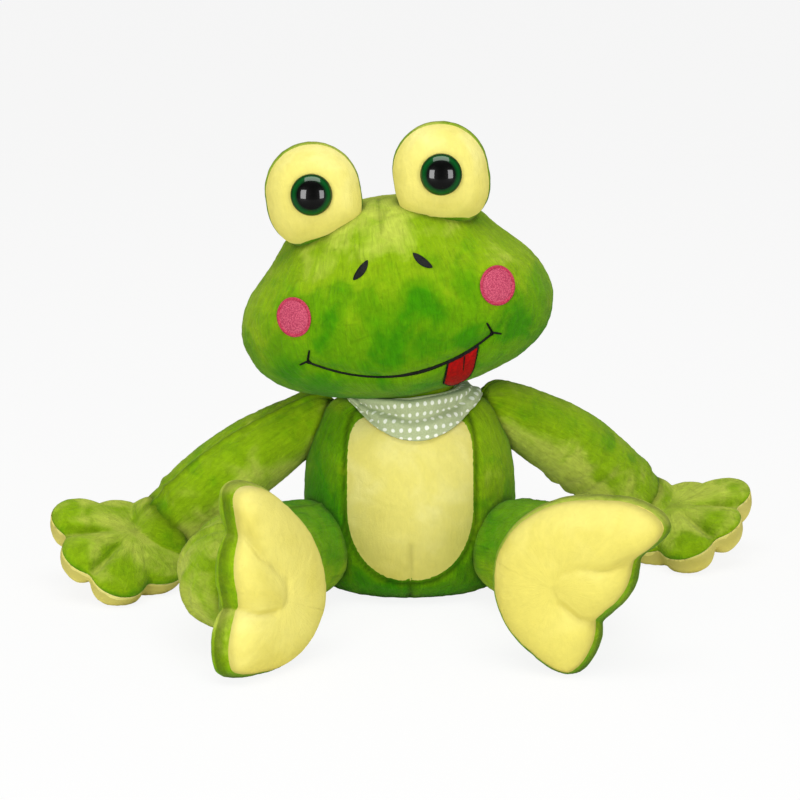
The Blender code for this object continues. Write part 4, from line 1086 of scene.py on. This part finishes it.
LOBE_WIDTH, LOBE_HEIGHT, LOBE_THICKNESS = 0.0495, 0.0462, 0.026
LOBE_MIDDLE = LOBE_HEIGHT - LOBE_WIDTH / 2
stalks = {}
for name, sign, aside in (("left", 1, 0.2069 * HEAD_SIZE[0]), ("right", -1, -0.1958 * HEAD_SIZE[0])):
    stalk_frame = head_frame @ Matrix.Translation((aside, -0.022, 0.0452))
    body = "eye_stalk_" + name
    count = 150
    turn = TAU * np.arange(count) / count
    reach = np.full(count, LOBE_WIDTH / 2)
    egg = 1 + 0.24 * eased(-np.sin(turn), 0.0, 1.05)
    from_foot = np.remainder(turn + math.pi / 2 + sign * math.radians(15) + math.pi, TAU) - math.pi
    cap = 1.04 / np.cos(0.62 * np.clip(from_foot, -1.4, 1.4))
    flat_foot = smoothed(np.minimum(0.975 * egg, np.where(np.abs(from_foot) < 1.4, cap, 9.0)), 3, 2)

    def lobe_loft(x, y, share, side):
        return side * LOBE_THICKNESS / 2 * np.maximum(0, 1 - share**3.0) ** 0.5

    def field_loft(x, y, share, side):
        base = LOBE_THICKNESS / 2 * np.maximum(0, 1 - (share * 0.93) ** 3.0) ** 0.5
        puffed = 4.1 * MM * (1 - share**4) - 0.35 * MM - 0.6 * MM * bell(share, 0.3)
        return base + (puffed if side > 0 else -1.5 * MM)

    for part, loft, grown, finish, slot, nodes in (
        ("stalk", lobe_loft, egg, green_pile_plush, "green_plush", ("eye_stalk_" + name,)),
        ("field", field_loft, flat_foot, yellow_pile_plush, "yellow_plush", ("eye_field_" + name,)),
    ):
        piece, share, side = pillow("eye_%s_plush_%s" % (part, name), reach * grown, loft, 30, count)
        spots = points_of(piece)
        local = np.stack((spots[:, 0], -spots[:, 2], spots[:, 1] + LOBE_MIDDLE), 1)
        if part == "field":
            local -= (sign * 0.3 * MM, 0, 0.8 * MM)
        set_points(piece, local)
        mark(piece, "nap", np.stack((local[:, 2], local[:, 0], local[:, 1]), 1))
        if part == "stalk":
            seam_ring = bell(1 - share, 0.03)
            darken(piece, 0.55 * seam_ring * (side > 0))
            push(piece, -0.6 * MM * seam_ring)
        set_points(piece, placed(stalk_frame, local))
        mark(piece, "rest", points_of(piece))
        dye(piece, local, 0.1 if part == "stalk" else 0.0, ())
        fuzz(piece, 51 + sign, 0.35 * MM, 0.14 * MM)
        dressed(piece, finish, slot, body, *nodes, fill=0.85)
        stalks[part + name] = piece

    # The plastic eye, turned about its own axis
    radius, dome, rim = 0.01075, 0.0065, 0.0012
    profile = [(radius * k / 8, 0.0) for k in range(1, 9)] + [(radius, -rim)]
    for k in range(1, 22):
        tip = math.pi / 2 * k / 22
        profile.append((radius * math.cos(tip), -rim - (dome - rim) * math.sin(tip)))
    eye_frame = stalk_frame @ Matrix.Translation((0, -LOBE_THICKNESS / 2 - 0.0031, LOBE_MIDDLE - 0.0020))
    turn = TAU * np.arange(64) / 64
    rings = np.array([[(r * math.cos(t), y, r * math.sin(t)) for t in turn] for r, y in profile])
    eye = closed_skin("eye_acrylic_" + name, rings, (0, 0.0, 0), (0, -dome, 0))
    spots = points_of(eye)
    mark(eye, "ring", np.hypot(spots[:, 0], spots[:, 2]) / radius)
    eye.data.flip_normals()
    set_points(eye, placed(eye_frame, spots))
    mark(eye, "rest", points_of(eye))
    dressed(eye, eye_finish, "eye_plastic", body, "eye_" + name)
    frame["nodes"]["eye_washer_" + name].data.materials.clear()
    frame["nodes"]["eye_washer_" + name].data.materials.append(washer_nylon)

# ---------------------------------------------------------------- neck and neckerchief

turn = TAU * np.arange(72) / 72
NECK_ROWS = ((0, 0.5), (0.020, 0.55), (0.0235, 0.75), (0.0235, 1.0), (0.022, 1.3), (0.018, 1.55), (0, 1.6))
neck_rows = through(NECK_ROWS, 30)[1:-1]
rings = np.array([[(r * math.cos(t), r * math.sin(t), NECK[2] + (h - 1) * 0.03) for t in turn] for r, h in neck_rows])
neck = closed_skin("neck_plush", rings, (0, 0, NECK[2] - 0.016), (0, 0, NECK[2] + 0.019))
spots = points_of(neck)
mark(neck, "rest", spots)
mark(neck, "nap", np.stack((spots[:, 2], np.arctan2(spots[:, 1], spots[:, 0]) * 0.02, 0 * spots[:, 0]), 1))
dressed(neck, green_pile_plush, "green_plush", "neck", "neck", fill=0.9)

under_scarf = (tree_of(torso), tree_of(belly))
count, steps = 260, 36  # columns round the neck, rows from the neck to the hem
rows = []
for i in range(count):
    turn = TAU * i / count
    way = np.array((math.cos(turn), math.sin(turn), 0))
    front = max(0.0, -math.sin(turn - math.radians(4)))
    rise = 4 * MM * max(0.0, math.cos(turn)) + 2 * MM * front**4
    line = [way * r + (0, 0, z + rise) for r, z in ((0.0225, 0.1030), (0.0270, 0.1050), (0.0305, 0.1045))]
    hem_reach = 0.0330 + 0.0120 * front**2.5 + 0.003 * max(0.0, math.cos(turn))
    hem_level = 0.1015 - 0.0080 * front**2.5
    for share in (0.30, 0.65, 1.0):
        aim = way * (0.0305 + (hem_reach - 0.0305) * share) + (0, 0, 0.1020 + (hem_level - 0.1020) * share)
        slope = way * 0.75 + (0, 0, 0.66)
        hits = [tree.ray_cast(Vector(aim + slope * 0.08), Vector(-slope)) for tree in under_scarf]
        place, normal, _, _ = min((hit for hit in hits if hit[0] is not None), key=lambda hit: hit[3])
        lift = 1.7 * MM + 3.0 * MM * front**2 * (1 - share) ** 0.6
        line.append(np.array(place) + np.array(normal) * lift + (0, 0, (1 - share) * rise))
    rows.append(through(line, steps))
grid = np.array(rows)
turns = (TAU * np.arange(count) / count)[:, None]
cloth_u = np.repeat(turns * 0.036, steps, axis=1)
cloth_v = np.zeros((count, steps))
cloth_v[:, 1:] = np.cumsum(np.linalg.norm(np.diff(grid, axis=1), axis=2), axis=1)
front = np.maximum(0, -np.sin(turns - math.radians(6)))
share = np.linspace(0, 1, steps)[None, :]
folds = np.sin(TAU * (2.9 * share + 0.16 * np.sin(turns * 2 + 0.6) + 0.06 * np.sin(turns * 5)))
fold_depth = 1.5 * MM * (0.35 + 0.65 * front) * np.sin(math.pi * np.clip(share * 1.02, 0, 1)) ** 0.5
out = grid.copy()
out[:, :, 2] = 0
out /= np.maximum(np.linalg.norm(out, axis=2), 1e-6)[:, :, None]
out += np.array((0, 0, 0.5))
grid = grid + out * (folds * fold_depth)[:, :, None]
faces = []
for i in range(count):
    j = (i + 1) % count
    for s in range(steps - 1):
        faces.append((i * steps + s, i * steps + s + 1, j * steps + s + 1, j * steps + s))
scarf = add_mesh("neckerchief_cloth", grid.reshape(-1, 3), faces)
cloth = np.stack((cloth_u.ravel(), cloth_v.ravel(), 0 * cloth_u.ravel()), 1)
mark(scarf, "cloth", cloth)
scarf.modifiers.new("thickness", "SOLIDIFY").thickness = 0.7 * MM
scarf.modifiers["thickness"].offset = 1.0
dressed(scarf, dotted_cotton, "dotted_cotton", "torso", "neckerchief")

# ---------------------------------------------------------------- seams where the sewn parts meet, with painted shade where the parts lie close

MEETINGS = [(head, stalks["stalk" + name], 1.9 * MM) for name in SIDES]
for part in limbs.values():
    MEETINGS += [(torso, part["arm"], 1.8 * MM), (torso, part["leg"], 1.8 * MM)]
    MEETINGS += [(part["arm"], part["hand"], 1.6 * MM), (part["leg"], part["foot"], 1.6 * MM)]
trees = {p.name: tree_of(p) for meeting in MEETINGS for p in meeting[:2]}
for one, other, width in MEETINGS:
    for piece, against in ((one, other), (other, one)):
        near = gap_to(piece, trees[against.name], 3 * width)
        # Painted shade in a band wherever one part lies near another, over the sewn joint.
        darken(piece, 0.8 * bell(near, width))

for name in SIDES:
    part = limbs[name]
    sign = SIDES[name]["sign"]
    for key, cad in (("arm", "arm"), ("hand", "hand"), ("leg", "leg"), ("foot", "foot")):
        dressed(part[key], green_pile_plush, "green_plush", None, "%s_%s" % (cad, name), fill=0.85)
    dressed(part["palm"], yellow_pile_plush, "yellow_plush", "hand_" + name, "palm_" + name, fill=0.8)
    dressed(part["sole"], yellow_pile_plush, "yellow_plush", "foot_" + name, "sole_" + name, fill=0.8)
    shoulder, hip = JOINT_AT["arm_" + name], JOINT_AT["leg_" + name]
    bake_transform(part["arm"])
    way = JOINT_AT["foot_" + name] - hip
    way[2] = 0
    way /= np.linalg.norm(way)
    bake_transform(part["leg"])
    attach(part["hand"], "hand_" + name)
    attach(part["foot"], "foot_" + name)

# ---------------------------------------------------------------- studio

def area_light(name, place, aim, size, watts):
    lamp = bpy.data.lights.new(name, "AREA")
    lamp.shape = "RECTANGLE"
    lamp.size, lamp.size_y = size
    lamp.energy = watts
    made = bpy.data.objects.new(name, lamp)
    bpy.context.scene.collection.objects.link(made)
    made.location = place
    made.rotation_euler = (Vector(aim) - Vector(place)).to_track_quat("-Z", "Y").to_euler()


area_light("top_softbox", (0.0, -0.45, 1.45), (0, 0, 0.1), (1.3, 0.8), 13)
for lamp_name, lamp_side, watts in (("left_window", -0.66, 6.5), ("right_window", 0.66, 5.5)):
    area_light(lamp_name, (lamp_side, -1.25, 0.34), (0, 0, 0.13), (0.42, 0.60), watts)

world = bpy.data.worlds.new("studio_air")
bpy.context.scene.world = world
world.use_nodes = True
tree = world.node_tree
sky = tree.nodes["Background"]
sky.inputs["Color"].default_value = linear("#ffffff")
sky.inputs["Strength"].default_value = 0.36
bright = add_node(tree, "Background", Color=linear("#ffffff"), Strength=1.0)
path = add_node(tree, "LightPath")
dim = add_node(tree, "Background", Color=linear("#ffffff"), Strength=0.03)
mixed = add_node(tree, "MixShader", _0=(path, "Is Glossy Ray"), _1=(sky, "Background"), _2=(dim, "Background"))
mixed = add_node(tree, "MixShader", _0=(path, "Is Camera Ray"), _1=(mixed, "Shader"), _2=(bright, "Background"))
tree.links.new(mixed.outputs["Shader"], tree.nodes["World Output"].inputs["Surface"])

floor = add_mesh("floor", [(x * 8, y * 8, 0) for x, y in ((-1, -1), (1, -1), (1, 1), (-1, 1))], [(0, 1, 2, 3)])
paper, tree, shader = new_finish("studio_paper", 0.9)
shader.inputs["Base Color"].default_value = linear("#f2f2f0")
glow = add_node(tree, "Emission", Color=linear("#ffffff"), Strength=1.0)
path = add_node(tree, "LightPath")
share = add_node(tree, "Math", {"operation": "MULTIPLY"}, _0=(path, "Is Camera Ray"), _1=0.88)
dark = add_node(tree, "Emission", Color=linear("#000000"), Strength=0.0)
unseen = add_node(tree, "Math", {"operation": "MULTIPLY"}, _0=(path, "Is Glossy Ray"), _1=0.8)
mixed = add_node(tree, "MixShader", _0=(unseen, "Value"), _1=(shader, "BSDF"), _2=(dark, "Emission"))
mixed = add_node(tree, "MixShader", _0=(share, "Value"), _1=(mixed, "Shader"), _2=(glow, "Emission"))
tree.links.new(mixed.outputs["Shader"], tree.nodes["Material Output"].inputs["Surface"])
floor.data.materials.append(paper)

camera_data = bpy.data.cameras.new("camera")
camera_data.lens, camera_data.sensor_width = 109.35, 36
camera = bpy.data.objects.new("camera", camera_data)
bpy.context.scene.collection.objects.link(camera)
target, distance, tilt = Vector((-0.00535, 0, 0.100)), 1.3, math.radians(14)
camera.location = target + distance * Vector((0, -math.cos(tilt), math.sin(tilt)))
camera.rotation_euler = (target - camera.location).to_track_quat("-Z", "Y").to_euler()
bpy.context.scene.camera = camera
bpy.context.scene.view_settings.view_transform = "Standard"

bpy.context.view_layer.update()
